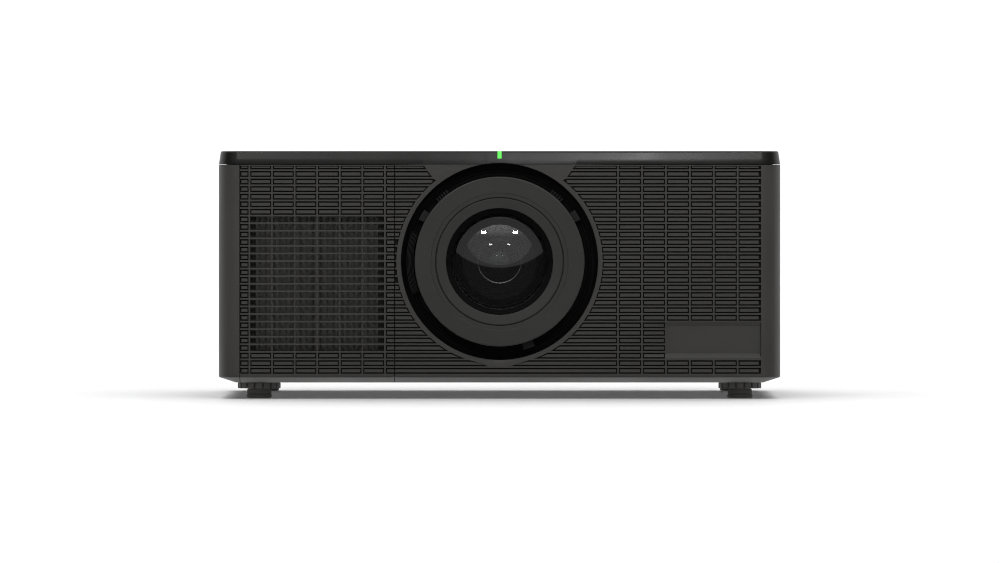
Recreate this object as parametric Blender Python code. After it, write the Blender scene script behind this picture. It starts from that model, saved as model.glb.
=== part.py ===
"""A large home projector: a flat dark case with a louvred front, a round lens opening, a
removable filter door and screw feet, with its lens, lens-shift slides, light engine, fans and
electronics inside.

Frame: X to the right seen from the front, the front faces -Y, +Z up. The origin is at the middle
of the footprint, at the height of the foot pads' undersides. All sizes are in millimetres, and
the mesh helper turns them into metres.
"""

import math

import bmesh
import bpy
from mathutils import Matrix, Vector

MM = 0.001
GAP = 0.3                 # air left between pieces that touch
RUN_GAP = 0.7             # air round pieces that turn or slide

# Case
WIDTH = 484.0
DEPTH = 530.0             # front plane to rear plane, without the lens
CASE_HEIGHT = 199.5       # underside to top
FOOT_HEIGHT = 14.0        # floor to the case's underside
COVER_HEIGHT = 11.5       # top cover, parting line to top
COVER_DRAFT = 1.7         # how far the cover's sides lean in
COVER_EDGE = 1.2          # chamfer round the cover's top
NOTCH_HALF = 2.0          # status light's notch in the cover's front edge
NOTCH_DEEP = 8.0
NOTCH_TALL = 7.0
CORNER_R = 18.0
BEVEL_IN = 14.6           # bevel round the underside, sideways
BEVEL_UP = 4.7            # bevel round the underside, upwards
LIP_IN = 2.0              # flat lip inside the bevel
LIP_THICK = 2.6
WALL = 3.0
FRONT_WALL = 6.0
BASE_THICK = 2.0
BASE_CLIP = 3.0           # clipped corners of the base plate
SEAM = 0.6                # visible joint between case pieces
VENT_PITCH = 13.04        # side vents, slot to slot
LEFT_VENT_Y = (37.0, 177.0)
LEFT_VENT_Z = (60.0, 150.0)
RIGHT_VENT_Y = (-120.0, 40.0)
RIGHT_VENT_Z = (40.0, 150.0)
CORNER_STEPS = 6
CUT_OVER = 1.0            # how far a cutting shape runs past the face it cuts

# Front face
DOOR_LEFT = 18.0          # door's outer edge, from the case's side
DOOR_WIDTH = 133.4
LOUVRE_PITCH = 6.52
LOUVRE_SLOT = 5.0
LOUVRE_DEPTH = 2.0
LOUVRE_ROWS = 28
LOUVRE_FIRST = 21.75      # underside of the lowest slot, above the floor
LOUVRE_EDGE = 1.2         # plain edge left under the parting line
WINDOW_LEFT = 9.1         # air window, from the door's outer edge
WINDOW_RIGHT = 9.2        # air window, from the door's inner edge
WINDOW_LOW_ROW = 3
WINDOW_ROWS = 18
WINDOW_COLUMNS = 6
WINDOW_RIB = 2.2
SIDE_SEAM = 30.0          # front bezel's wrap along the side
BADGE_RIGHT = 17.6        # recess, from the case's side
BADGE_WIDTH = 78.3
BADGE_HEIGHT = 23.5
BADGE_LOW = 39.2          # recess floor's lower edge, above the floor
BADGE_SLOPE = 4.0
BADGE_SIDE_SLOPE = 11.6
BADGE_BORDER = 2.0        # plain edge between the slots and the recess
BADGE_DEPTH = 3.0
CREST_TOP_HALF = 65.8     # plain area above the lens opening
CREST_LOW_HALF = 56.0
CREST_HEIGHT = 13.6
STUB_HALF = 9.5
STUB_DROP = 2.5           # how far the stub reaches below the rim

# Lens
LENS_Z = 118.4
OPENING_R = 84.8
RIM = 3.9
LENS_CLEARANCE = 11.6     # round the lens, for its shift
LENS_PROUD = 4.0
FLANGE_WIDTH = 14.2
GROOVE_WIDTH = 4.3
GROOVE_DEPTH = 4.0
INNER_FACE_WIDTH = 8.7
INNER_FACE_DROP = 2.0
FRONT_RING_LENGTH = 18.0
BARREL_STEP = 13.2        # front ring's radius less the barrel's
SOCKET_DEPTH = 6.7
BARREL_LENGTH = 79.4
BARREL_WALL = 22.0        # barrel's radius less its bore
GLASS_SEAT = 15.5         # barrel's radius less the glass seat's
GLASS_FLANGE = 5.8
GLASS_RISE = 7.4
DOME_RINGS = 5
RETAINER_WIDTH = 4.2
RETAINER_LENGTH = 5.3
BARREL_FLANGE = 6.0
FLANGE_LENGTH = 8.0
SNOUT_R = 36.0
SNOUT_WALL = 6.0
SNOUT_LENGTH = 48.0
STOP_SHARE = 0.6          # stop's place along the barrel
STOP_THICK = 2.0
STOP_HOLE_R = 20.7
LENS_STEPS = 32

# Focus and zoom drive
MODULE = 3.0
PINION_TEETH = 8
RING_LENGTH = 16.0
RING_WALL = 3.4
TOOTH_ADDENDUM = 0.6      # shares of the module
TOOTH_DEDENDUM = 0.8
TOOTH_ROOT_HALF = 0.27    # shares of the tooth's step
TOOTH_TIP_HALF = 0.13
DRIVE_MOTOR_R = 9.0
DRIVE_MOTOR_LENGTH = 26.0
FOCUS_ANGLE = 215.0
ZOOM_ANGLE = 325.0
SHAFT_R = 2.0
BRACKET_THICK = 3.0
FOCUS_FROM_FRONT = 23.0   # front plane to the focus ring
ZOOM_FROM_FRONT = 53.0

# Lens shift
SHIFT_UP = 8.0            # travel each way
SHIFT_SIDE = 5.0
H_PLATE = 150.0
V_PLATE = 166.0
PLATE_THICK = 6.0
RAIL = 5.7
BASE_WIDTH = 190.0
BASE_HEIGHT = 180.0
BASE_FOOT = 45.0
BASE_FOOT_THICK = 4.0
SCREW_R = 3.5
SCREW_DROP = 82.0
SCREW_OUT = 99.0
SCREW_LENGTH = 116.0
SHIFT_MOTOR_R = 10.0
SHIFT_MOTOR_LENGTH = 28.0
NUT_WALL = 4.0
LUG_HALF = 9.0
H_MOTOR_FOOT_X = (71.5, 84.0)

# Light engine
ENGINE_WIDTH = 160.0
ENGINE_DEPTH = 110.0
ENGINE_LOW = 34.0
ENGINE_HEIGHT = 152.0
ENGINE_WALL = 4.0
LEG_IN = 12.0
LEG_R = 6.0
LASER_SIZE = (80.0, 80.0, 76.0)
LASER_FROM_ENGINE = 14.0  # beside the engine
LASER_BACK = 20.0         # behind the engine's front
LASER_PORTS = 3
LASER_PORT_R = 7.0
PRISM_LEG = 22.0
PRISM_LENGTH = 38.0
PRISM_HALF_HEIGHT = 20.0
WHEEL_R = 32.0
FIN_PITCH = 8.0
FIN_THICK = 2.4
FIN_DEPTH = 44.0
FIN_BASE = 6.0

# Fans
FAN_SIZE = 120.0
FAN_DEPTH = 25.0
FAN_RIM = 3.5
HUB_R = 20.0
BLADES = 7
BLADE_HALF = 0.7
BLADE_SWEEP = 0.22        # radians from root to tip
BLADE_ROOT_CHORD = 0.34   # half-chords, radians
BLADE_TIP_CHORD = 0.27
ARM_THICK = 3.0
ARM_HALF = 2.0
INTAKE_IN = 85.0          # intake fan's axis, from the case's side
INTAKE_Z = 108.0
EXHAUST_IN = 92.0
EXHAUST_Z = 140.0

# Filter
FILTER_THICK = 12.0
FILTER_BORDER = 6.0
FILTER_LOW = 30.0
FILTER_HIGH = 190.0
PLEATS = 18
PLEAT_SHEET = 0.9
PLEAT_FOLD = 3.6
FILTER_INSET = (7.0, 8.0)  # frame's sides, in from the door's
SEAT_INSET = 4.0
SEAT_OVER = 6.0
SEAT_THICK = 4.0

# Feet
FOOT_IN = 34.4            # foot's axis, from the case's side
FOOT_FROM_END = 42.0      # foot's axis, from the front and rear planes
FOOT_WHEEL_R = 18.85
FOOT_WHEEL_THICK = 5.0
FOOT_PAD_R = 11.0
STUD_R = 4.0
STUD_LENGTH = 18.0
KNURLS = 16
KNURL_DEPTH = 1.2
FOOT_BOSS_TALL = 8.0
FOOT_BOSS_WALL = 4.0

# Ceiling-mount bosses
BOSS_X = 60.0
BOSS_FROM_ENGINE = 29.9   # front pair, ahead of the light engine's back
BOSS_FROM_REAR = 117.0
BOSS_R = 8.0
BOSS_TALL = 16.0
BOSS_TOP = 3.0            # solid metal left above the hole
BOSS_PROUD = 1.0          # each boss stands below the plate, to carry a bracket's arm
BOSS_HOLE_R = 3.0

# Rear
PORTS_LEFT = 33.0
PORTS_WIDTH = 208.0
PORTS_LOW = 24.0
PORTS_HEIGHT = 72.0
PORTS_DEEP = 9.0
PORT_POCKET = 7.0
PORT_SIZES = ((15.0, 6.0), (15.0, 6.0), (16.0, 13.0), (18.0, 9.0), (18.0, 9.0), (14.0, 7.0))
PORTS_MARGIN = 5.0
KEY_R = 5.0
KEY_TRAVEL = 1.2
KEY_PITCH = 22.0
KEY_FIRST_IN = 52.0
KEY_Z = 150.0
INLET_IN = 44.0
INLET_Z = 46.0
INLET_SIZE = (32.0, 26.0)
INLET_FLANGE = 2.0
INLET_DEEP = 24.0
INLET_POCKET = (12.0, 8.2, 4.0)  # half-width, half-height and clipped corner
INLET_POCKET_DEEP = 16.0
INLET_PINS = ((-7.0, -1.5), (0.0, 2.0), (7.0, -1.5))
INLET_PIN_HALF = (1.0, 2.0)
EXHAUST_BORDER = 6.0      # exhaust slots, in from the fan's frame
EXHAUST_SPLIT = 2.0
EXHAUST_PITCH = 9.128
ROCKER_IN = 86.0
ROCKER_HALF = (6.5, 9.2)
ROCKER_TILT = 8.0
ROCKER_PIVOT = 4.5        # pivot, in from the rear plane
ROCKER_RISE = 3.0
ROCKER_DISH = 1.4
ROCKER_DEEP = 5.0

# Electronics
SUPPLY_X = (27.0, 132.0)  # in from the case's left side
SUPPLY_Y = (210.0, 17.0)  # ahead of the rear feet
SUPPLY_HIGH = 108.0
SUPPLY_WALL = 1.5
BOARD_SIDES = (150.0, 160.0)
BOARD_Y = (130.0, 20.0)   # in from the rear plane
BOARD_UP = 14.0           # above the port block
BOARD_THICK = 1.6
CHIP_SIZE = (22.0, 26.0)
CHIP_PITCH_Y = 48.0
CHIP_MARGIN = (12.0, 14.0)

# Places worked out from the sizes above
HALF = WIDTH / 2
FRONT = -(DEPTH + LENS_PROUD) / 2 + LENS_PROUD
REAR = FRONT + DEPTH
LOW = FOOT_HEIGHT
TOP = LOW + CASE_HEIGHT
PARTING = TOP - COVER_HEIGHT
LIP = BEVEL_IN + LIP_IN
BASE_TOP = LOW + BASE_THICK
DOOR_X0 = -HALF + DOOR_LEFT + SEAM
DOOR_X1 = -HALF + DOOR_LEFT + DOOR_WIDTH
BEZEL_X0 = DOOR_X1 + SEAM
RIM_R = OPENING_R + RIM
LENS_R = OPENING_R - LENS_CLEARANCE
LENS_FRONT = FRONT - LENS_PROUD
BARREL_R = LENS_R - BARREL_STEP
BORE_R = BARREL_R - BARREL_WALL
SEAT_R = BARREL_R - GLASS_SEAT
RING_REAR = LENS_FRONT + FRONT_RING_LENGTH
SOCKET = RING_REAR - SOCKET_DEPTH
BARREL_FRONT = SOCKET + GAP
BARREL_REAR = BARREL_FRONT + BARREL_LENGTH
SNOUT_END = BARREL_REAR + SNOUT_LENGTH
RING_BORE = BARREL_R + RUN_GAP
TEETH = 4 * round((2 * (RING_BORE + RING_WALL) + 2 * TOOTH_DEDENDUM * MODULE) / MODULE / 4)
RING_PITCH_R = TEETH * MODULE / 2
PINION_PITCH_R = PINION_TEETH * MODULE / 2
DRIVE_CENTRE = RING_PITCH_R + PINION_PITCH_R
FOCUS_Y = FRONT + FOCUS_FROM_FRONT
ZOOM_Y = FRONT + ZOOM_FROM_FRONT
BRACKET_Y = (FOCUS_Y + RING_LENGTH + ZOOM_Y - BRACKET_THICK) / 2
H_Y = BARREL_REAR + GAP
V_Y = H_Y + PLATE_THICK + GAP
MOUNT_Y = V_Y + PLATE_THICK + GAP
MOUNT_REAR = MOUNT_Y + PLATE_THICK + 2.0
ENGINE_FRONT = MOUNT_REAR + 5.0
ENGINE_REAR = ENGINE_FRONT + ENGINE_DEPTH
BOSS_FRONT_Y = ENGINE_REAR - BOSS_FROM_ENGINE
BOSS_REAR_Y = REAR - BOSS_FROM_REAR
FOOT_X = HALF - FOOT_IN
FOOT_FRONT_Y = FRONT + FOOT_FROM_END
FOOT_REAR_Y = REAR - FOOT_FROM_END
WHEEL_TOP = LOW - GAP
WHEEL_LOW = WHEEL_TOP - FOOT_WHEEL_THICK
FILTER_Y = FRONT + FRONT_WALL + 1.0
SEAT_Y = FILTER_Y + FILTER_THICK + 2.0
FAN_Y = SEAT_Y + SEAT_THICK + 4.0
PANEL_INNER = REAR - WALL
INTAKE_X = -HALF + INTAKE_IN
EXHAUST_X = HALF - EXHAUST_IN

FINISHES = {
    "case_plastic": ((0.040, 0.039, 0.038), 0.46, 0.0),
    "lens_ring": ((0.032, 0.031, 0.031), 0.40, 0.0),
    "black_plastic": ((0.012, 0.012, 0.012), 0.55, 0.0),
    "glass": ((0.05, 0.05, 0.06), 0.05, 0.0),
    "aluminium": ((0.55, 0.56, 0.57), 0.35, 1.0),
    "steel": ((0.45, 0.45, 0.46), 0.38, 1.0),
    "rubber": ((0.025, 0.025, 0.025), 0.80, 0.0),
    "filter_media": ((0.30, 0.30, 0.31), 0.90, 0.0),
    "status_lens": ((0.12, 0.62, 0.10), 0.30, 0.0),
    "circuit_board": ((0.02, 0.12, 0.05), 0.50, 0.0),
}


# Helpers

def make_finish(name):
    """One Principled material with the finish's colour, roughness and metallic value."""
    colour, roughness, metallic = FINISHES[name]
    finish = bpy.data.materials.new(name)
    finish.use_nodes = True
    shader = finish.node_tree.nodes["Principled BSDF"]
    shader.inputs["Base Color"].default_value = (*colour, 1.0)
    shader.inputs["Roughness"].default_value = roughness
    shader.inputs["Metallic"].default_value = metallic
    return finish


def add_box(shape, x, y, z):
    """A box between the (low, high) pairs x, y and z."""
    middle = Vector([(low + high) / 2 for low, high in (x, y, z)])
    size = Vector([high - low for low, high in (x, y, z)])
    matrix = Matrix.Translation(middle) @ Matrix.Diagonal((*size, 1.0))
    bmesh.ops.create_cube(shape, size=1.0, matrix=matrix)


def add_prism(shape, outline, axis, low, high):
    """A flat outline carried straight along an axis. Its pairs are (y, z), (x, z) or (x, y)."""
    corners = [shape.verts.new(on_plane(pair, axis, low)) for pair in outline]
    face = shape.faces.new(corners)
    grown = bmesh.ops.extrude_face_region(shape, geom=[face])["geom"]
    shift = Vector(on_plane((0.0, 0.0), axis, high - low))
    moved = [item for item in grown if isinstance(item, bmesh.types.BMVert)]
    bmesh.ops.translate(shape, vec=shift, verts=moved)


def on_plane(pair, axis, height):
    """The 3-D point whose two coordinates off the axis are the pair."""
    point = list(pair)
    point.insert("XYZ".index(axis), height)
    return point


def add_turned(shape, profile, centre, axis, steps):
    """A closed profile of (along, radius) pairs spun round an axis through the centre."""
    along = Vector(on_plane((0.0, 0.0), axis, 1.0))
    across = Vector((0.0, 0.0, 1.0)) if axis != "Z" else Vector((1.0, 0.0, 0.0))
    middle = Vector(centre)
    spun = bmesh.new()
    ring = [spun.verts.new(middle + along * distance + across * radius) for distance, radius in profile]
    edges = [spun.edges.new((ring[i - 1], ring[i])) for i in range(len(ring))]
    bmesh.ops.spin(
        spun, geom=ring + edges, cent=middle, axis=along, angle=2 * math.pi, steps=steps,
        use_duplicate=False, use_merge=True,
    )
    bmesh.ops.remove_doubles(spun, verts=spun.verts, dist=0.001)
    take(shape, spun)


def add_disc(shape, centre, axis, low, high, radius, steps):
    """A solid cylinder along an axis, from low to high past the centre."""
    outline = ring_points(radius, steps)
    middle = list(centre)
    index = "XYZ".index(axis)
    base = middle.pop(index)
    moved = [(a + middle[0], b + middle[1]) for a, b in outline]
    add_prism(shape, moved, axis, base + low, base + high)


def take(shape, other):
    """Add the other shape's faces to this one."""
    copies = {vert: shape.verts.new(vert.co) for vert in other.verts}
    for face in other.faces:
        shape.faces.new([copies[vert] for vert in face.verts])
    other.free()


def ring_points(radius, steps, start=0.0):
    """Points round a circle, as pairs."""
    angles = [start + 2 * math.pi * i / steps for i in range(steps)]
    return [(radius * math.cos(a), radius * math.sin(a)) for a in angles]


def add_object(name, shape, origin=(0.0, 0.0, 0.0)):
    """Turn a shape in millimetres into an object in metres with its origin where it turns."""
    bmesh.ops.recalc_face_normals(shape, faces=shape.faces)
    bmesh.ops.translate(shape, vec=-Vector(origin), verts=shape.verts)
    bmesh.ops.scale(shape, vec=(MM, MM, MM), verts=shape.verts)
    mesh = bpy.data.meshes.new(name)
    shape.to_mesh(mesh)
    shape.free()
    item = bpy.data.objects.new(name, mesh)
    item.location = Vector(origin) * MM
    bpy.context.scene.collection.objects.link(item)
    return item


def add_piece(name, finish, shape, origin=(0.0, 0.0, 0.0)):
    """A finished sub-part with its material, smooth where it is round."""
    item = add_object(name, shape, origin)
    item.data.materials.append(materials[finish])
    item.data.shade_smooth()
    item.data.set_sharp_from_angle(angle=math.radians(35.0))
    return item


def combine(item, shape, operation):
    """Join a shape to a sub-part, or cut it out, with a hidden tool object."""
    tool = add_object(f"{item.name}_{operation.lower()}_{len(item.modifiers)}", shape)
    tool.hide_render = True
    tool.display_type = "WIRE"
    step = item.modifiers.new(operation.title(), "BOOLEAN")
    step.operation = operation
    step.object = tool


def cut(item, shape):
    combine(item, shape, "DIFFERENCE")


def join(item, shape):
    combine(item, shape, "UNION")


# Case

def corner(x_side, y_side, start_wall, end_wall, turn):
    """Stations round one vertical corner: place, outward normal and wall at each."""
    centre_x = x_side * (HALF - CORNER_R)
    centre_y = REAR - CORNER_R if y_side > 0 else FRONT + CORNER_R
    first = math.atan2(0.0, x_side) if turn == "side_first" else math.atan2(y_side, 0.0)
    last = math.atan2(y_side, 0.0) if turn == "side_first" else math.atan2(0.0, x_side)
    span = (last - first + math.pi) % (2 * math.pi) - math.pi
    stations = []
    for i in range(CORNER_STEPS + 1):
        share = i / CORNER_STEPS
        angle = first + span * share
        nx, ny = math.cos(angle), math.sin(angle)
        wall = start_wall + (end_wall - start_wall) * share
        stations.append((centre_x + CORNER_R * nx, centre_y + CORNER_R * ny, nx, ny, wall))
    return stations


def wall_section(wall):
    """The case wall's section as (distance in from the outer face, height) pairs."""
    slope = BEVEL_UP / BEVEL_IN
    return [
        (BEVEL_IN, LOW),
        (0.0, LOW + BEVEL_UP),
        (0.0, PARTING - GAP),
        (wall, PARTING - GAP),
        (wall, LOW + LIP_THICK + (LIP - wall) * slope),
        (LIP, LOW + LIP_THICK),
        (LIP, LOW),
    ]


def add_wall(shape, stations):
    """The case wall's section carried through stations round the outline."""
    rings = []
    for x, y, nx, ny, wall in stations:
        section = wall_section(wall)
        rings.append([shape.verts.new((x - inset * nx, y - inset * ny, z)) for inset, z in section])
    count = len(rings[0])
    for before, after in zip(rings, rings[1:]):
        for i in range(count):
            shape.faces.new((before[i - 1], before[i], after[i], after[i - 1]))
    shape.faces.new(rings[0])
    shape.faces.new(reversed(rings[-1]))


def plain_edge(z):
    """Half-width of the plain area round the lens opening at one height."""
    reach = 0.0
    if abs(z - LENS_Z) < RIM_R:
        reach = math.sqrt(RIM_R ** 2 - (z - LENS_Z) ** 2)
    crest_low = PARTING - CREST_HEIGHT
    if z > crest_low:
        share = (z - crest_low) / CREST_HEIGHT
        reach = max(reach, CREST_LOW_HALF + share * (CREST_TOP_HALF - CREST_LOW_HALF))
    if LENS_Z - RIM_R - STUB_DROP < z < LENS_Z:
        reach = max(reach, STUB_HALF)
    return reach


def add_slot(shape, x0_low, x0_high, x1, z0, z1):
    """One louvre slot whose near end may lean."""
    outline = [(x0_low, z0), (x1, z0), (x1, z1), (x0_high, z1)]
    add_prism(shape, outline, "Y", FRONT - 1.0, FRONT + LOUVRE_DEPTH)


def slot_rows():
    """Height range of every louvre slot below the parting line."""
    lows = [LOUVRE_FIRST + LOUVRE_PITCH * row for row in range(LOUVRE_ROWS)]
    ceiling = PARTING - LOUVRE_EDGE
    return [(low, min(low + LOUVRE_SLOT, ceiling)) for low in lows if low + LOUVRE_EDGE < ceiling]


def make_front_bezel():
    shape = bmesh.new()
    stations = [(BEZEL_X0, FRONT, 0.0, -1.0, FRONT_WALL)]
    stations += corner(1, -1, FRONT_WALL, WALL, "front_first")
    stations.append((HALF, FRONT + SIDE_SEAM, 1.0, 0.0, WALL))
    add_wall(shape, stations)
    bezel = add_piece("front_bezel", "case_plastic", shape)
    slots = bmesh.new()
    slot_left = BEZEL_X0 - 1.0
    slot_right = HALF - CORNER_R + 1.0
    badge_top = BADGE_LOW + BADGE_HEIGHT + BADGE_SLOPE
    badge_bottom = BADGE_LOW - BADGE_SLOPE
    badge_left = HALF - BADGE_RIGHT - BADGE_WIDTH - BADGE_SIDE_SLOPE - BADGE_BORDER
    for z0, z1 in slot_rows():
        near_low, near_high = plain_edge(z0), plain_edge(z1)
        right = slot_right
        if z1 > badge_bottom and z0 < badge_top:
            right = badge_left
        if max(near_low, near_high) == 0.0:
            add_slot(slots, slot_left, slot_left, right, z0, z1)
            continue
        near_low, near_high = max(near_low, STUB_HALF), max(near_high, STUB_HALF)
        add_slot(slots, near_low, near_high, right, z0, z1)
        if -max(near_low, near_high) > slot_left:
            add_slot(slots, -near_low, -near_high, slot_left, z0, z1)
    cut(bezel, slots)
    cut(bezel, badge_recess())
    opening = bmesh.new()
    add_disc(opening, (0.0, FRONT, LENS_Z), "Y", -2.0, FRONT_WALL + 2.0, OPENING_R, LENS_STEPS)
    cut(bezel, opening)


def badge_recess():
    """A shallow tray with sloping sides, its deep face inside the front wall."""
    right = HALF - BADGE_RIGHT
    left = right - BADGE_WIDTH
    low, high = BADGE_LOW, BADGE_LOW + BADGE_HEIGHT
    out = 1.0
    deep = FRONT + BADGE_DEPTH
    grow = (BADGE_DEPTH + out) / BADGE_DEPTH
    shape = bmesh.new()
    floor = [(left, low), (right, low), (right, high), (left, high)]
    mouth = [
        (left - BADGE_SIDE_SLOPE * grow, low - BADGE_SLOPE * grow),
        (right + grow, low - BADGE_SLOPE * grow),
        (right + grow, high + BADGE_SLOPE * grow),
        (left - BADGE_SIDE_SLOPE * grow, high + BADGE_SLOPE * grow),
    ]
    inner = [shape.verts.new((x, deep, z)) for x, z in floor]
    outer = [shape.verts.new((x, FRONT - out, z)) for x, z in mouth]
    shape.faces.new(inner)
    shape.faces.new(outer)
    for i in range(4):
        shape.faces.new((inner[i - 1], inner[i], outer[i], outer[i - 1]))
    return shape


def make_filter_door():
    shape = bmesh.new()
    stations = [(x, FRONT, 0.0, -1.0, FRONT_WALL) for x in (DOOR_X0, DOOR_X1)]
    add_wall(shape, stations)
    door = add_piece("filter_door", "case_plastic", shape)
    slots = bmesh.new()
    for z0, z1 in slot_rows():
        add_slot(slots, DOOR_X0 - 1.0, DOOR_X0 - 1.0, DOOR_X1 + 1.0, z0, z1)
    cut(door, slots)
    left = DOOR_X0 + WINDOW_LEFT
    right = DOOR_X1 - WINDOW_RIGHT
    low = LOUVRE_FIRST + WINDOW_LOW_ROW * LOUVRE_PITCH
    high = low + WINDOW_ROWS * LOUVRE_PITCH - (LOUVRE_PITCH - LOUVRE_SLOT)
    column = (right - left + WINDOW_RIB) / WINDOW_COLUMNS
    cells = bmesh.new()
    for i in range(WINDOW_COLUMNS):
        start = left + i * column
        add_box(
            cells, (start, start + column - WINDOW_RIB),
            (FRONT + LOUVRE_DEPTH - 0.2, FRONT + FRONT_WALL + 1.0), (low + 0.2, high - 0.2),
        )
    cut(door, cells)


def side_vents(x_side, y, z):
    """Slots through a side wall."""
    shape = bmesh.new()
    x = sorted((x_side * (HALF + CUT_OVER), x_side * (HALF - WALL - CUT_OVER)))
    for i in range(int((z[1] - z[0]) / VENT_PITCH)):
        low = z[0] + VENT_PITCH * i
        add_box(shape, x, y, (low, low + LOUVRE_SLOT))
    return shape


def make_side_panels():
    shape = bmesh.new()
    add_wall(shape, corner(-1, -1, WALL, WALL, "front_first") + corner(-1, 1, WALL, WALL, "side_first"))
    left = add_piece("left_side_panel", "case_plastic", shape)
    cut(left, side_vents(-1, LEFT_VENT_Y, LEFT_VENT_Z))
    shape = bmesh.new()
    stations = [(HALF, FRONT + SIDE_SEAM + SEAM, 1.0, 0.0, WALL)]
    stations += corner(1, 1, WALL, WALL, "side_first")
    add_wall(shape, stations)
    right = add_piece("right_side_panel", "case_plastic", shape)
    cut(right, side_vents(1, RIGHT_VENT_Y, RIGHT_VENT_Z))


def make_rear_panel():
    edge = HALF - CORNER_R - SEAM
    shape = bmesh.new()
    add_wall(shape, [(x, REAR, 0.0, 1.0, WALL) for x in (edge, -edge)])
    panel = add_piece("rear_panel", "case_plastic", shape)
    holes = bmesh.new()
    through = (PANEL_INNER - CUT_OVER, REAR + CUT_OVER)
    left = -HALF + PORTS_LEFT
    add_box(
        holes, (left + PORTS_MARGIN, left + PORTS_WIDTH - PORTS_MARGIN), through,
        (PORTS_LOW + PORTS_MARGIN, PORTS_LOW + PORTS_HEIGHT - PORTS_MARGIN),
    )
    inlet_x = HALF - INLET_IN
    half_w, half_h = INLET_SIZE[0] / 2 - INLET_FLANGE, INLET_SIZE[1] / 2 - INLET_FLANGE
    add_box(holes, (inlet_x - half_w, inlet_x + half_w), through, (INLET_Z - half_h, INLET_Z + half_h))
    rocker_x = HALF - ROCKER_IN
    half_w, half_h = ROCKER_HALF[0] + RUN_GAP, ROCKER_HALF[1] + 2 * RUN_GAP
    add_box(holes, (rocker_x - half_w, rocker_x + half_w), through, (INLET_Z - half_h, INLET_Z + half_h))
    for x in key_places():
        add_disc(holes, (x, REAR, KEY_Z), "Y", -WALL - 1.0, 1.0, KEY_R + GAP, 16)
    reach = FAN_SIZE / 2 - EXHAUST_BORDER
    for row in range(int(2 * reach / EXHAUST_PITCH)):
        low = EXHAUST_Z - reach + row * EXHAUST_PITCH
        for x0, x1 in ((-reach, -EXHAUST_SPLIT), (EXHAUST_SPLIT, reach)):
            add_box(holes, (EXHAUST_X + x0, EXHAUST_X + x1), through, (low, low + LOUVRE_SLOT))
    cut(panel, holes)


def make_top_cover():
    shape = bmesh.new()
    heights = [
        (COVER_DRAFT + WALL, TOP - WALL), (WALL, PARTING), (0.0, PARTING),
        (COVER_DRAFT, TOP - COVER_EDGE), (COVER_DRAFT + COVER_EDGE, TOP),
    ]
    stations = corner(1, -1, WALL, WALL, "front_first") + corner(1, 1, WALL, WALL, "side_first")
    stations += corner(-1, 1, WALL, WALL, "rear_first") + corner(-1, -1, WALL, WALL, "side_first")
    rings = []
    for inset, z in heights:
        rings.append([shape.verts.new((x - inset * nx, y - inset * ny, z)) for x, y, nx, ny, _ in stations])
    for before, after in zip(rings, rings[1:]):
        for i in range(len(before)):
            shape.faces.new((before[i - 1], before[i], after[i], after[i - 1]))
    shape.faces.new(reversed(rings[0]))
    shape.faces.new(rings[-1])
    cover = add_piece("top_cover", "case_plastic", shape)
    notch = bmesh.new()
    notch_y = (FRONT - CUT_OVER, FRONT + NOTCH_DEEP)
    add_box(notch, (-NOTCH_HALF, NOTCH_HALF), notch_y, (TOP - NOTCH_TALL, TOP + CUT_OVER))
    cut(cover, notch)
    opening = bmesh.new()
    add_disc(opening, (0.0, FRONT, LENS_Z), "Y", -2.0, 12.0, OPENING_R, LENS_STEPS)
    cut(cover, opening)


def make_status_light():
    """A light guide that fills the notch in the cover's front edge."""
    low = TOP - NOTCH_TALL + GAP
    back = FRONT + NOTCH_DEEP - GAP
    lean = COVER_DRAFT / (COVER_HEIGHT - COVER_EDGE)
    front_low = FRONT + (low - PARTING) * lean
    outline = [
        (front_low, low), (FRONT + COVER_DRAFT, TOP - COVER_EDGE),
        (FRONT + COVER_DRAFT + COVER_EDGE, TOP), (back, TOP), (back, low),
    ]
    shape = bmesh.new()
    add_prism(shape, outline, "X", GAP - NOTCH_HALF, NOTCH_HALF - GAP)
    add_piece("status_light", "status_lens", shape)


def foot_places():
    places = {}
    for side, x in (("left", -FOOT_X), ("right", FOOT_X)):
        for end, y in (("front", FOOT_FRONT_Y), ("rear", FOOT_REAR_Y)):
            places[f"{end}_{side}"] = (x, y)
    return places


def boss_places():
    """The four ceiling-mount bosses."""
    return [(x, y) for x in (-BOSS_X, BOSS_X) for y in (BOSS_FRONT_Y, BOSS_REAR_Y)]


def make_base_plate():
    x, front, rear = HALF - LIP - GAP, FRONT + LIP + GAP, REAR - LIP - GAP
    clip = BASE_CLIP
    outline = [
        (clip - x, front), (x - clip, front), (x, front + clip), (x, rear - clip),
        (x - clip, rear), (clip - x, rear), (-x, rear - clip), (-x, front + clip),
    ]
    shape = bmesh.new()
    add_prism(shape, outline, "Z", LOW, BASE_TOP)
    plate = add_piece("base_plate", "steel", shape)
    bosses = bmesh.new()
    holes = bmesh.new()
    for x, y in foot_places().values():
        add_disc(bosses, (x, y, LOW), "Z", BASE_THICK / 2, FOOT_BOSS_TALL, STUD_R + FOOT_BOSS_WALL, 12)
        add_disc(holes, (x, y, LOW), "Z", -CUT_OVER, FOOT_BOSS_TALL + CUT_OVER, STUD_R + GAP, 16)
    for x, y in boss_places():
        add_disc(bosses, (x, y, LOW), "Z", -BOSS_PROUD, BOSS_TALL, BOSS_R, 12)
        add_disc(holes, (x, y, LOW), "Z", -BOSS_PROUD - CUT_OVER, BOSS_TALL - BOSS_TOP, BOSS_HOLE_R, 16)
    join(plate, bosses)
    cut(plate, holes)


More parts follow.
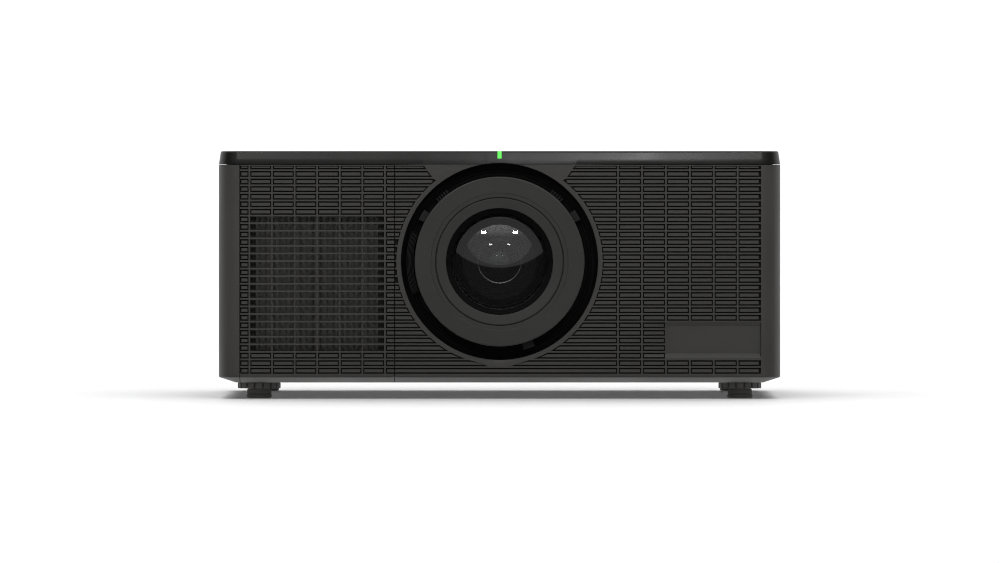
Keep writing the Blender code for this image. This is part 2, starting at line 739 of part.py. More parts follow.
def make_feet():
    for name, (x, y) in foot_places().items():
        origin = (x, y, WHEEL_LOW)
        shape = bmesh.new()
        rim = []
        for i in range(2 * KNURLS):
            angle = math.pi * i / KNURLS
            radius = FOOT_WHEEL_R - (0.0 if i % 2 else KNURL_DEPTH)
            rim.append((x + radius * math.cos(angle), y + radius * math.sin(angle)))
        add_prism(shape, rim, "Z", WHEEL_LOW, WHEEL_TOP)
        screw = add_piece(f"foot_screw_{name}", "black_plastic", shape, origin)
        stud = bmesh.new()
        add_disc(stud, (x, y, WHEEL_LOW), "Z", 1.0, FOOT_WHEEL_THICK + STUD_LENGTH, STUD_R, 16)
        join(screw, stud)
        shape = bmesh.new()
        profile = [
            (0.0, 0.0), (0.0, FOOT_PAD_R - 1.5), (1.5, FOOT_PAD_R),
            (WHEEL_LOW - GAP, FOOT_PAD_R - 0.8), (WHEEL_LOW - GAP, 0.0),
        ]
        add_turned(shape, profile, (x, y, 0.0), "Z", 24)
        add_piece(f"foot_pad_{name}", "rubber", shape, (x, y, 0.0))


# Filter

def make_filter():
    left, right = DOOR_X0 + FILTER_INSET[0], DOOR_X1 - FILTER_INSET[1]
    shape = bmesh.new()
    add_box(shape, (left, right), (FILTER_Y, FILTER_Y + FILTER_THICK), (FILTER_LOW, FILTER_HIGH))
    frame = add_piece("filter_frame", "black_plastic", shape)
    inner = (left + FILTER_BORDER, right - FILTER_BORDER)
    inner_z = (FILTER_LOW + FILTER_BORDER, FILTER_HIGH - FILTER_BORDER)
    window = bmesh.new()
    add_box(window, inner, (FILTER_Y - 1.0, FILTER_Y + FILTER_THICK + 1.0), inner_z)
    cut(frame, window)
    span = inner[1] - inner[0] - 2 * GAP
    middle = FILTER_Y + FILTER_THICK / 2
    front_line = []
    for i in range(2 * PLEATS + 1):
        side = PLEAT_FOLD if i % 2 else -PLEAT_FOLD
        front_line.append((inner[0] + GAP + span * i / (2 * PLEATS), middle + side))
    back_line = [(px, py + PLEAT_SHEET) for px, py in reversed(front_line)]
    shape = bmesh.new()
    add_prism(shape, front_line + back_line, "Z", inner_z[0] + GAP, inner_z[1] - GAP)
    add_piece("filter_mesh", "filter_media", shape)
    shape = bmesh.new()
    y = (SEAT_Y, SEAT_Y + SEAT_THICK)
    x = (DOOR_X0 + SEAT_INSET, DOOR_X1 - SEAT_INSET)
    add_box(shape, x, y, (BASE_TOP + GAP, FILTER_HIGH + SEAT_OVER))
    seat = add_piece("filter_seat", "black_plastic", shape)
    window = bmesh.new()
    add_box(window, inner, (SEAT_Y - 1.0, SEAT_Y + SEAT_THICK + 1.0), inner_z)
    cut(seat, window)


# Lens

def lens_at(x, y, z):
    """A point given from the lens axis."""
    return (x, y, LENS_Z + z)


def add_lens_turned(shape, profile):
    """A profile of (y, radius) pairs spun round the lens axis."""
    add_turned(shape, profile, lens_at(0.0, 0.0, 0.0), "Y", LENS_STEPS)


def make_lens_body():
    flange_in = LENS_R - FLANGE_WIDTH
    face_out = flange_in - GROOVE_WIDTH
    face_in = face_out - INNER_FACE_WIDTH
    shape = bmesh.new()
    add_lens_turned(shape, [
        (LENS_FRONT, flange_in), (LENS_FRONT, LENS_R - 1.0), (LENS_FRONT + 1.0, LENS_R),
        (RING_REAR, LENS_R), (RING_REAR, BARREL_R + GAP), (SOCKET, BARREL_R + GAP), (SOCKET, face_in),
        (LENS_FRONT + INNER_FACE_DROP, face_in), (LENS_FRONT + INNER_FACE_DROP, face_out),
        (LENS_FRONT + GROOVE_DEPTH, face_out), (LENS_FRONT + GROOVE_DEPTH, flange_in),
    ])
    add_piece("lens_front_ring", "lens_ring", shape)

    seat_y = BARREL_FRONT + GAP + GLASS_FLANGE + GAP
    flange_y = BARREL_REAR - FLANGE_LENGTH
    shape = bmesh.new()
    add_lens_turned(shape, [
        (BARREL_FRONT, SEAT_R), (BARREL_FRONT, BARREL_R), (flange_y, BARREL_R),
        (flange_y, BARREL_R + BARREL_FLANGE), (BARREL_REAR, BARREL_R + BARREL_FLANGE),
        (BARREL_REAR, SNOUT_R), (SNOUT_END, SNOUT_R), (SNOUT_END, SNOUT_R - SNOUT_WALL),
        (BARREL_REAR - SNOUT_WALL, SNOUT_R - SNOUT_WALL), (BARREL_REAR - SNOUT_WALL, BORE_R),
        (seat_y, BORE_R), (seat_y, SEAT_R),
    ])
    add_piece("lens_barrel", "black_plastic", shape)

    glass_r = face_in - RETAINER_WIDTH - 2 * GAP
    glass_front = BARREL_FRONT + GAP
    dome = []
    for i in range(DOME_RINGS):
        angle = math.pi / 2 * i / (DOME_RINGS - 1)
        dome.append((glass_front - GLASS_RISE * math.cos(angle), glass_r * math.sin(angle)))
    shape = bmesh.new()
    add_lens_turned(shape, dome + [
        (glass_front, SEAT_R - GAP), (glass_front + GLASS_FLANGE, SEAT_R - GAP),
        (glass_front + GLASS_FLANGE, 0.0),
    ])
    add_piece("front_glass", "glass", shape)

    retainer_rear = BARREL_FRONT - GAP
    retainer_front = retainer_rear - RETAINER_LENGTH
    shape = bmesh.new()
    add_lens_turned(shape, [
        (retainer_front, glass_r + GAP), (retainer_front, face_in - GAP),
        (retainer_rear, face_in - GAP), (retainer_rear, glass_r + GAP),
    ])
    add_piece("glass_retainer", "black_plastic", shape)

    stop_y = BARREL_FRONT + STOP_SHARE * BARREL_LENGTH
    stop_rear = stop_y + STOP_THICK
    shape = bmesh.new()
    add_lens_turned(shape, [
        (stop_y, STOP_HOLE_R), (stop_y, BORE_R - GAP), (stop_rear, BORE_R - GAP),
        (stop_rear, STOP_HOLE_R),
    ])
    add_piece("lens_stop", "black_plastic", shape)

    rear_r = SNOUT_R - SNOUT_WALL - GAP
    shape = bmesh.new()
    add_lens_turned(shape, [
        (SNOUT_END - 16.0, 0.0), (SNOUT_END - 15.0, 0.6 * rear_r), (SNOUT_END - 12.0, rear_r),
        (SNOUT_END - 6.0, rear_r), (SNOUT_END - 3.0, 0.6 * rear_r), (SNOUT_END - 2.0, 0.0),
    ])
    add_piece("rear_glass", "glass", shape)


def gear_outline(teeth, centre, start):
    """A gear's outline: trapezoid teeth with a flat tip, a sloping flank and a flat root."""
    pitch_r = teeth * MODULE / 2
    tip = pitch_r + TOOTH_ADDENDUM * MODULE
    root = pitch_r - TOOTH_DEDENDUM * MODULE
    step = 2 * math.pi / teeth
    corners = (
        (root, TOOTH_ROOT_HALF), (tip, TOOTH_TIP_HALF), (tip, -TOOTH_TIP_HALF), (root, -TOOTH_ROOT_HALF),
    )
    points = []
    for i in range(teeth):
        for radius, half_width in corners:
            angle = start + step * (i - half_width)
            points.append((centre[0] + radius * math.cos(angle), centre[1] + radius * math.sin(angle)))
    return points


def drive_point(angle):
    """A pinion's axis as x and height."""
    turn = math.radians(angle)
    return (DRIVE_CENTRE * math.cos(turn), LENS_Z + DRIVE_CENTRE * math.sin(turn))


def make_drive(name, angle, y, shaft_side):
    """A toothed ring round the barrel, its pinion and its motor beyond the bracket."""
    turn = math.radians(angle)
    shape = bmesh.new()
    add_prism(shape, gear_outline(TEETH, (0.0, LENS_Z), turn), "Y", y, y + RING_LENGTH)
    ring = add_piece(f"{name}_ring", "black_plastic", shape, lens_at(0.0, y, 0.0))
    bore = bmesh.new()
    add_disc(bore, lens_at(0.0, y, 0.0), "Y", -1.0, RING_LENGTH + 1.0, RING_BORE, LENS_STEPS)
    cut(ring, bore)

    x, z = drive_point(angle)
    half_tooth = math.pi / PINION_TEETH
    shape = bmesh.new()
    outline = gear_outline(PINION_TEETH, (x, z), turn + math.pi + half_tooth)
    add_prism(shape, outline, "Y", y, y + RING_LENGTH)
    pinion = add_piece(f"{name}_pinion", "aluminium", shape, (x, y, z))
    shaft = bmesh.new()
    if shaft_side > 0:
        shaft_span = (y + RING_LENGTH - 1.0, BRACKET_Y + BRACKET_THICK + 8.0)
        motor_y = BRACKET_Y + BRACKET_THICK + GAP
        bore_span = (motor_y - 1.0, motor_y + 9.0)
    else:
        shaft_span = (BRACKET_Y - 8.0, y + 1.0)
        motor_y = BRACKET_Y - GAP - DRIVE_MOTOR_LENGTH
        bore_span = (BRACKET_Y - GAP - 9.0, BRACKET_Y + 1.0)
    add_disc(shaft, (x, 0.0, z), "Y", *shaft_span, SHAFT_R, 12)
    join(pinion, shaft)

    shape = bmesh.new()
    add_disc(shape, (x, motor_y, z), "Y", 0.0, DRIVE_MOTOR_LENGTH, DRIVE_MOTOR_R, 24)
    motor = add_piece(f"{name}_motor", "steel", shape)
    bore = bmesh.new()
    add_disc(bore, (x, 0.0, z), "Y", *bore_span, SHAFT_R + GAP, 12)
    cut(motor, bore)


def make_motor_bracket():
    shape = bmesh.new()
    add_disc(shape, lens_at(0.0, BRACKET_Y, 0.0), "Y", 0.0, BRACKET_THICK, BARREL_R + 12.0, LENS_STEPS)
    bracket = add_piece("motor_bracket", "aluminium", shape)
    holes = bmesh.new()
    add_disc(holes, lens_at(0.0, BRACKET_Y, 0.0), "Y", -1.0, BRACKET_THICK + 1.0, BARREL_R + GAP, LENS_STEPS)
    for angle in (FOCUS_ANGLE, ZOOM_ANGLE):
        x, z = drive_point(angle)
        ear = bmesh.new()
        add_disc(ear, (x, BRACKET_Y, z), "Y", 0.1, BRACKET_THICK - 0.1, DRIVE_MOTOR_R + 2.0, 24)
        join(bracket, ear)
        add_disc(holes, (x, BRACKET_Y, z), "Y", -1.0, BRACKET_THICK + 1.0, SHAFT_R + RUN_GAP, 12)
    cut(bracket, holes)


# Lens shift

def add_plate(shape, width, height, y, thick):
    """An upright plate centred on the lens axis."""
    z = (LENS_Z - height / 2, LENS_Z + height / 2)
    add_box(shape, (-width / 2, width / 2), (y, y + thick), z)


def cut_round(item, y, thick, radius):
    """A round hole on the lens axis."""
    hole = bmesh.new()
    add_disc(hole, lens_at(0.0, y, 0.0), "Y", -1.0, thick + 1.0, radius, LENS_STEPS)
    cut(item, hole)


def make_lens_shift():
    screw_z = LENS_Z - SCREW_DROP
    h_screw_y = H_Y - SHIFT_MOTOR_R - RUN_GAP
    v_screw_y = MOUNT_Y - SHIFT_MOTOR_R - RUN_GAP
    nut_half = SCREW_R + NUT_WALL
    rail_half = SCREW_LENGTH / 2 - 2.0

    shape = bmesh.new()
    add_plate(shape, H_PLATE, H_PLATE, H_Y, PLATE_THICK)
    plate = add_piece("h_shift_plate", "aluminium", shape)
    nut = bmesh.new()
    nut_z = (screw_z - nut_half, LENS_Z - H_PLATE / 2 + 9.0)
    add_box(nut, (-nut_half, nut_half), (h_screw_y - nut_half, H_Y - GAP), nut_z)
    join(plate, nut)
    bridge = bmesh.new()
    add_box(bridge, (-7.0, 7.0), (H_Y - 2.0, H_Y + 2.0), (nut_z[1] - 7.5, nut_z[1] - 0.5))
    join(plate, bridge)
    cut_round(plate, H_Y, PLATE_THICK, SNOUT_R + GAP)
    hole = bmesh.new()
    add_disc(hole, (0.0, h_screw_y, screw_z), "X", -10.0, 10.0, SCREW_R + GAP, 16)
    cut(plate, hole)

    shape = bmesh.new()
    add_plate(shape, V_PLATE, V_PLATE, V_Y, PLATE_THICK)
    plate = add_piece("v_shift_plate", "aluminium", shape)
    rails = bmesh.new()
    for side in (-1, 1):
        z = sorted((LENS_Z + side * (H_PLATE / 2 + GAP), LENS_Z + side * (H_PLATE / 2 + GAP + RAIL)))
        add_box(rails, (-rail_half, rail_half), (H_Y, V_Y + 2.0), z)
    join(plate, rails)
    strip = (H_PLATE / 2 + SHIFT_SIDE + RUN_GAP, V_PLATE / 2 - 0.2)
    lug = bmesh.new()
    lug_z = (LENS_Z - LUG_HALF, LENS_Z + LUG_HALF)
    add_box(lug, (strip[0], SCREW_OUT + LUG_HALF), (v_screw_y - nut_half, V_Y - GAP), lug_z)
    join(plate, lug)
    bridge = bmesh.new()
    bridge_z = (LENS_Z - LUG_HALF + 1.0, LENS_Z + LUG_HALF - 1.0)
    add_box(bridge, strip, (V_Y - 2.0, V_Y + 2.0), bridge_z)
    join(plate, bridge)
    cut_round(plate, V_Y, PLATE_THICK, SNOUT_R + SHIFT_SIDE + RUN_GAP)
    hole = bmesh.new()
    add_disc(hole, (SCREW_OUT, v_screw_y, LENS_Z), "Z", -10.0, 10.0, SCREW_R + GAP, 16)
    cut(plate, hole)

    thick = MOUNT_REAR - MOUNT_Y
    shape = bmesh.new()
    z = (BASE_TOP + GAP, LENS_Z + BASE_HEIGHT / 2)
    add_box(shape, (-BASE_WIDTH / 2, BASE_WIDTH / 2), (MOUNT_Y, MOUNT_REAR), z)
    base = add_piece("lens_mount_base", "aluminium", shape)
    extras = bmesh.new()
    for side in (-1, 1):
        x = sorted((side * (V_PLATE / 2 + GAP), side * (V_PLATE / 2 + GAP + RAIL)))
        add_box(extras, x, (V_Y, MOUNT_Y + 2.0), (LENS_Z - rail_half, LENS_Z + rail_half))
    foot_x = (1.0 - BASE_WIDTH / 2, BASE_WIDTH / 2 - 1.0)
    foot_z = (BASE_TOP + GAP, BASE_TOP + GAP + BASE_FOOT_THICK)
    add_box(extras, foot_x, (MOUNT_Y + 1.0, MOUNT_REAR + BASE_FOOT), foot_z)
    join(base, extras)
    cut_round(base, MOUNT_Y, thick, SNOUT_R + SHIFT_SIDE + SHIFT_UP + RUN_GAP)

    half = SCREW_LENGTH / 2
    shape = bmesh.new()
    add_disc(shape, (0.0, h_screw_y, screw_z), "X", -half, half, SCREW_R, 16)
    add_piece("h_shift_screw", "steel", shape, (0.0, h_screw_y, screw_z))
    shape = bmesh.new()
    span = (half + GAP, half + GAP + SHIFT_MOTOR_LENGTH)
    add_disc(shape, (0.0, h_screw_y, screw_z), "X", *span, SHIFT_MOTOR_R, 24)
    motor = add_piece("h_shift_motor", "steel", shape)
    foot = bmesh.new()
    add_box(foot, H_MOTOR_FOOT_X, (h_screw_y, V_Y - GAP), (screw_z - 2.5, screw_z + 5.0))
    join(motor, foot)

    centre = (SCREW_OUT, v_screw_y, LENS_Z)
    shape = bmesh.new()
    add_disc(shape, centre, "Z", -half, half, SCREW_R, 16)
    add_piece("v_shift_screw", "steel", shape, centre)
    shape = bmesh.new()
    add_disc(shape, centre, "Z", *span, SHIFT_MOTOR_R, 24)
    add_piece("v_shift_motor", "steel", shape)


# Light engine

def fin_outline(width):
    """A finned block's outline: a base with upright fins, as (across, out) pairs."""
    count = int((width - FIN_THICK) / FIN_PITCH)
    pitch = (width - FIN_THICK) / count
    points = [(0.0, 0.0)]
    for i in range(count + 1):
        start = i * pitch
        points += [(start, FIN_BASE), (start, FIN_BASE + FIN_DEPTH)]
        points += [(start + FIN_THICK, FIN_BASE + FIN_DEPTH), (start + FIN_THICK, FIN_BASE)]
    points.append((width, 0.0))
    return [pair for index, pair in enumerate(points) if index == 0 or pair != points[index - 1]]


def add_heatsink(name, x, y, z):
    """Fins point to +Y from a flat base."""
    outline = [(x[0] + a, y + b) for a, b in fin_outline(x[1] - x[0])]
    outline = [pair for i, pair in enumerate(outline) if not on_edge(outline, i)]
    shape = bmesh.new()
    add_prism(shape, outline, "Z", z[0], z[1])
    add_piece(name, "aluminium", shape)


def on_edge(outline, i):
    """Whether a point lies on the straight line between its neighbours."""
    (ax, ay), (bx, by), (cx, cy) = outline[i - 1], outline[i], outline[(i + 1) % len(outline)]
    return abs((bx - ax) * (cy - ay) - (by - ay) * (cx - ax)) < 1e-9


def make_engine():
    half = ENGINE_WIDTH / 2
    high = ENGINE_LOW + ENGINE_HEIGHT
    shape = bmesh.new()
    add_box(shape, (-half, half), (ENGINE_FRONT, ENGINE_REAR), (ENGINE_LOW, high))
    housing = add_piece("engine_housing", "aluminium", shape)
    legs = bmesh.new()
    for x in (LEG_IN - half, half - LEG_IN):
        for y in (ENGINE_REAR - LEG_IN, ENGINE_FRONT + BASE_FOOT + LEG_R + 2.0):
            add_disc(legs, (x, y, 0.0), "Z", BASE_TOP + GAP, ENGINE_LOW + 2.0, LEG_R, 16)
    join(housing, legs)
    room = bmesh.new()
    inner = half - ENGINE_WALL
    add_box(
        room, (-inner, inner), (ENGINE_FRONT + ENGINE_WALL, ENGINE_REAR + 1.0),
        (ENGINE_LOW + ENGINE_WALL, high - ENGINE_WALL),
    )
    cut(housing, room)
    cut_round(housing, ENGINE_FRONT, ENGINE_WALL, SNOUT_R + SHIFT_SIDE + SHIFT_UP + RUN_GAP)

    prism_y = SNOUT_END + 8.0
    shape = bmesh.new()
    outline = [(-PRISM_LEG, prism_y), (PRISM_LEG, prism_y), (PRISM_LEG, prism_y + PRISM_LENGTH)]
    add_prism(shape, outline, "Z", LENS_Z - PRISM_HALF_HEIGHT, LENS_Z + PRISM_HALF_HEIGHT)
    add_piece("light_prism", "glass", shape)
    add_heatsink("imager_heatsink", (-half, half), ENGINE_REAR + GAP, (ENGINE_LOW + 10.0, high - 10.0))

    laser_x = (half + LASER_FROM_ENGINE, half + LASER_FROM_ENGINE + LASER_SIZE[0])
    laser_y = (ENGINE_FRONT + LASER_BACK, ENGINE_FRONT + LASER_BACK + LASER_SIZE[1])
    laser_z = (BASE_TOP + GAP, BASE_TOP + GAP + LASER_SIZE[2])
    shape = bmesh.new()
    add_box(shape, laser_x, laser_y, laser_z)
    laser = add_piece("laser_module", "aluminium", shape)
    ports = bmesh.new()
    for i in range(LASER_PORTS):
        middle = laser_x[0] + LASER_SIZE[0] * (i + 1) / (LASER_PORTS + 1)
        add_disc(ports, (middle, sum(laser_y) / 2, laser_z[1]), "Z", -3.0, CUT_OVER, LASER_PORT_R, 16)
    cut(laser, ports)
    add_heatsink("laser_heatsink", laser_x, laser_y[1] + GAP, laser_z)

    centre = (laser_x[0] + 42.0, ENGINE_FRONT + 50.0, laser_z[1] + WHEEL_R + 16.0)
    shape = bmesh.new()
    add_turned(shape, [
        (0.0, 0.0), (0.0, WHEEL_R), (1.6, WHEEL_R), (1.6, 9.0), (6.0, 9.0), (6.0, 0.0),
    ], centre, "Y", 28)
    add_piece("phosphor_wheel", "aluminium", shape, centre)
    shape = bmesh.new()
    add_disc(shape, centre, "Y", 6.0 + GAP, 24.0, 12.0, 24)
    motor = add_piece("wheel_motor", "steel", shape)
    stand = bmesh.new()
    add_box(
        stand, (centre[0] - 8.0, centre[0] + 8.0), (centre[1] + 14.0, centre[1] + 18.0),
        (laser_z[1] + GAP, centre[2]),
    )
    join(motor, stand)


# Electronics and fans

def make_electronics():
    x = (SUPPLY_X[0] - HALF, SUPPLY_X[1] - HALF)
    y = (FOOT_REAR_Y - SUPPLY_Y[0], FOOT_REAR_Y - SUPPLY_Y[1])
    z = (BASE_TOP + GAP, SUPPLY_HIGH)
    shape = bmesh.new()
    add_box(shape, x, y, z)
    supply = add_piece("power_supply", "steel", shape)
    room = bmesh.new()
    skin = SUPPLY_WALL
    room_y = (y[0] - CUT_OVER, y[1] - skin)
    add_box(room, (x[0] + skin, x[1] - skin), room_y, (z[0] + skin, z[1] - skin))
    cut(supply, room)
    board_x = (BOARD_SIDES[0] - HALF, HALF - BOARD_SIDES[1])
    board_y = (REAR - BOARD_Y[0], REAR - BOARD_Y[1])
    board_z = PORTS_LOW + PORTS_HEIGHT + BOARD_UP
    shape = bmesh.new()
    add_box(shape, board_x, board_y, (board_z, board_z + BOARD_THICK))
    board = add_piece("main_board", "circuit_board", shape)
    chips = bmesh.new()
    for i in range(4):
        for j in range(2):
            left = board_x[0] + CHIP_MARGIN[0] + i * (board_x[1] - board_x[0] - 2 * CHIP_MARGIN[0]) / 4
            back = board_y[0] + CHIP_MARGIN[1] + CHIP_PITCH_Y * j
            chip_z = (board_z + BOARD_THICK / 2, board_z + 6.0 + 2.0 * i)
            add_box(chips, (left, left + CHIP_SIZE[0]), (back, back + CHIP_SIZE[1]), chip_z)
    join(board, chips)


def make_fan(name, centre_x, centre_z, y):
    """A square frame with a motor seat on three arms, and its bladed rotor."""
    half = FAN_SIZE / 2
    shape = bmesh.new()
    add_box(shape, (centre_x - half, centre_x + half), (y, y + FAN_DEPTH), (centre_z - half, centre_z + half))
    frame = add_piece(f"{name}_fan_frame", "black_plastic", shape)
    hole = bmesh.new()
    centre = (centre_x, y, centre_z)
    add_disc(hole, centre, "Y", -1.0, FAN_DEPTH + 1.0, half - FAN_RIM, 32)
    cut(frame, hole)
    spider = bmesh.new()
    add_disc(spider, centre, "Y", 0.4, ARM_THICK, HUB_R - 1.0, 24)
    for i in range(3):
        turn = Matrix.Translation(Vector(centre)) @ Matrix.Rotation(2 * math.pi * i / 3 + 0.5, 4, "Y")
        arm = bmesh.new()
        add_box(arm, (HUB_R - 4.0, half - 2.0), (0.6, ARM_THICK - 0.2), (-ARM_HALF, ARM_HALF))
        bmesh.ops.transform(arm, matrix=turn, verts=arm.verts)
        join(frame, arm)
    join(frame, spider)

    start = ARM_THICK + GAP + RUN_GAP
    shape = bmesh.new()
    add_disc(shape, centre, "Y", start, FAN_DEPTH - 1.5, HUB_R, 28)
    rotor = add_piece(f"{name}_fan_rotor", "black_plastic", shape, centre)
    blades = bmesh.new()
    tip = half - FAN_RIM - 0.5 - RUN_GAP
    ends = ((HUB_R - 2.0, 0.0, BLADE_ROOT_CHORD), (tip, BLADE_SWEEP, BLADE_TIP_CHORD))
    for i in range(BLADES):
        base = 2 * math.pi * i / BLADES
        rings = []
        for radius, sweep, half_chord in ends:
            ring = []
            for side, y_off in ((-1, start + 1.5), (1, FAN_DEPTH - 3.0)):
                for thick in (-BLADE_HALF, BLADE_HALF):
                    angle = base + sweep + side * half_chord + thick / radius
                    x, z = radius * math.cos(angle), radius * math.sin(angle)
                    ring.append((centre_x + x, y + y_off, centre_z + z))
            rings.append([blades.verts.new(ring[k]) for k in (0, 1, 3, 2)])
        inner, outer = rings
        blades.faces.new(inner)
        blades.faces.new(outer)
        for k in range(4):
            blades.faces.new((inner[k - 1], inner[k], outer[k], outer[k - 1]))
    bmesh.ops.triangulate(blades, faces=blades.faces[:])
    join(rotor, blades)


# Rear

def key_places():
    return [-HALF + KEY_FIRST_IN + KEY_PITCH * i for i in range(5)]


def make_rear_fittings():
    left = -HALF + PORTS_LEFT
    face = PANEL_INNER - GAP
    shape = bmesh.new()
    high = PORTS_LOW + PORTS_HEIGHT
    add_box(shape, (left, left + PORTS_WIDTH), (face - PORTS_DEEP, face), (PORTS_LOW, high))
    ports = add_piece("port_block", "black_plastic", shape)
    pockets = bmesh.new()
    deep = (face - PORT_POCKET, face + 1.0)
    middle_z = PORTS_LOW + PORTS_HEIGHT / 2
    pitch = (PORTS_WIDTH - 2 * PORTS_MARGIN) / len(PORT_SIZES)
    for i, (wide, tall) in enumerate(PORT_SIZES):
        x = left + PORTS_MARGIN + pitch * (i + 0.5)
        add_box(pockets, (x - wide / 2, x + wide / 2), deep, (middle_z - tall / 2, middle_z + tall / 2))
    cut(ports, pockets)

    x = HALF - INLET_IN
    half_w, half_h = INLET_SIZE[0] / 2, INLET_SIZE[1] / 2
    shape = bmesh.new()
    inlet_z = (INLET_Z - half_h, INLET_Z + half_h)
    add_box(shape, (x - half_w, x + half_w), (face - INLET_DEEP, face), inlet_z)
    inlet = add_piece("power_inlet", "black_plastic", shape)
    pocket = bmesh.new()
    w, h, c = INLET_POCKET
    mouth = [(-w, -h), (w, -h), (w, h - c), (w - c, h), (c - w, h), (-w, h - c)]
    outline = [(x + a, INLET_Z + b) for a, b in mouth]
    add_prism(pocket, outline, "Y", face - INLET_POCKET_DEEP, face + CUT_OVER)
    cut(inlet, pocket)
    pins = bmesh.new()
    half_x, half_z = INLET_PIN_HALF
    for a, b in INLET_PINS:
        pin_z = (INLET_Z + b - half_z, INLET_Z + b + half_z)
        add_box(pins, (x + a - half_x, x + a + half_x), (face - INLET_POCKET_DEEP - 2.0, face - 3.0), pin_z)
    join(inlet, pins)

    pivot = (HALF - ROCKER_IN, REAR - ROCKER_PIVOT, INLET_Z)
    half_w, half_h = ROCKER_HALF
    profile = [
        (ROCKER_RISE, -half_h), (ROCKER_DISH, 0.0), (ROCKER_RISE, half_h), (-1.0, half_h),
        (-ROCKER_DEEP, ROCKER_DEEP), (-ROCKER_DEEP, -ROCKER_DEEP), (-1.0, -half_h),
    ]
    tilt = math.radians(ROCKER_TILT)
    outline = []
    for out, up in profile:
        turned_out = out * math.cos(tilt) + up * math.sin(tilt)
        turned_up = up * math.cos(tilt) - out * math.sin(tilt)
        outline.append((pivot[1] + turned_out, pivot[2] + turned_up))
    shape = bmesh.new()
    add_prism(shape, outline, "X", pivot[0] - half_w, pivot[0] + half_w)
    add_piece("power_rocker", "black_plastic", shape, pivot)

    names = ("power_key", "input_key", "menu_key", "enter_key", "back_key")
    for name, key_x in zip(names, key_places()):
        shape = bmesh.new()
        add_turned(shape, [
            (face - 2.5, 0.0), (face - 2.5, KEY_R + 1.5), (face, KEY_R + 1.5), (face, KEY_R),
            (REAR - 1.0, KEY_R), (REAR - 0.4, KEY_R - 0.8), (REAR - 0.4, 0.0),
        ], (key_x, 0.0, KEY_Z), "Y", 16)
        add_piece(name, "black_plastic", shape, (key_x, REAR, KEY_Z))


for old in list(bpy.data.objects):
    bpy.data.objects.remove(old, do_unlink=True)
materials = {name: make_finish(name) for name in FINISHES}
make_front_bezel()
make_filter_door()
make_side_panels()
make_rear_panel()
make_top_cover()
make_status_light()
make_base_plate()
make_feet()
make_filter()
make_lens_body()
make_drive("focus", FOCUS_ANGLE, FOCUS_Y, 1)
make_drive("zoom", ZOOM_ANGLE, ZOOM_Y, -1)
make_motor_bracket()
make_lens_shift()
make_engine()
make_electronics()
make_fan("intake", INTAKE_X, INTAKE_Z, FAN_Y)
make_fan("exhaust", EXHAUST_X, EXHAUST_Z, PANEL_INNER - GAP - FAN_DEPTH)
make_rear_fittings()
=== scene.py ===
"""Looks of a home projector: the louvred case, its lens, its feet and fittings, their materials,
and the studio they stand in.

Shapes are worked out in millimetres, in the frame's own axes: X to the right seen from the
front, the front faces -Y, +Z up. `put` turns them into metres. A sheet of the case is a grid of
points with one parameter along the case's outline and one up it; round pieces are profiles
carried round an axis.
"""

import math
from types import SimpleNamespace

import bmesh
import bpy
import numpy as np
from bpy.props import FloatProperty, FloatVectorProperty, IntProperty, PointerProperty
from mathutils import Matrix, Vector


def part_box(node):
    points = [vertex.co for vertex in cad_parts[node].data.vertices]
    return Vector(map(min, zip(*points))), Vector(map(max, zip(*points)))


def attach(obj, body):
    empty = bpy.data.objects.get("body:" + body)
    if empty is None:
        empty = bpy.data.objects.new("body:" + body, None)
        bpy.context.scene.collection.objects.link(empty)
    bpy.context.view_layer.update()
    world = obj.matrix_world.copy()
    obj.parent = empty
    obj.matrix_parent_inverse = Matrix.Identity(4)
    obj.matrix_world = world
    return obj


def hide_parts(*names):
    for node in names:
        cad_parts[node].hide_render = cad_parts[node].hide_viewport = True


bl_info = {
    "name": "Home projector looks",
    "version": (1, 0, 0),
    "blender": (4, 5, 0),
    "location": "3D View > Sidebar > Projector",
    "description": "Builds the visible pieces, materials and studio of a home projector",
    "category": "Object",
}

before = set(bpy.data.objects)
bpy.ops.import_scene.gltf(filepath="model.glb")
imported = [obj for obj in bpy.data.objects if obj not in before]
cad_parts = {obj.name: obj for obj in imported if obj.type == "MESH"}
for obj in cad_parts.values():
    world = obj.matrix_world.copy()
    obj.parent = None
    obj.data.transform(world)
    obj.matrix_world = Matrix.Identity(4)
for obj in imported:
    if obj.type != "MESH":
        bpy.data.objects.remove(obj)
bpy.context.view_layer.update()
MM = 0.001


def box_mm(node):
    """Lowest and highest corner of a frame node, in millimetres."""
    low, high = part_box(node)
    return np.array(low) / MM, np.array(high) / MM


# Places read from the frame, in millimetres
cover_low, cover_high = box_mm("top_cover")
bezel_low, bezel_high = box_mm("front_bezel")
door_low, door_high = box_mm("filter_door")
right_low = box_mm("right_side_panel")[0]
ring_low, ring_high = box_mm("lens_front_ring")
glass_low, glass_high = box_mm("front_glass")
retainer_low, retainer_high = box_mm("glass_retainer")
barrel_high = box_mm("lens_barrel")[1]
light_low, light_high = box_mm("status_light")
ports_low, ports_high = box_mm("port_block")
HALF = cover_high[0]
FRONT, REAR = cover_low[1], cover_high[1]
LOW, TOP = bezel_low[2], cover_high[2]
PARTING = cover_low[2]
WALL_TOP = bezel_high[2]
LENS_Z = (ring_low[2] + ring_high[2]) / 2
RING_R = ring_high[0]

FEET = ("front_left", "front_right", "rear_left", "rear_right")
KEYS = ("power_key", "input_key", "menu_key", "enter_key", "back_key")
HAIR = 0.04               # width over which a steep wall drops


# Settings

def length(name, millimetres, description):
    """A length property whose default is given in millimetres."""
    return FloatProperty(
        name=name, description=description, default=millimetres * MM, min=0.0,
        unit="LENGTH", subtype="DISTANCE", precision=5,
    )


def colour(name, value, description):
    """A colour property with its default."""
    return FloatVectorProperty(
        name=name, description=description, default=value, min=0.0, max=1.0, subtype="COLOR",
    )


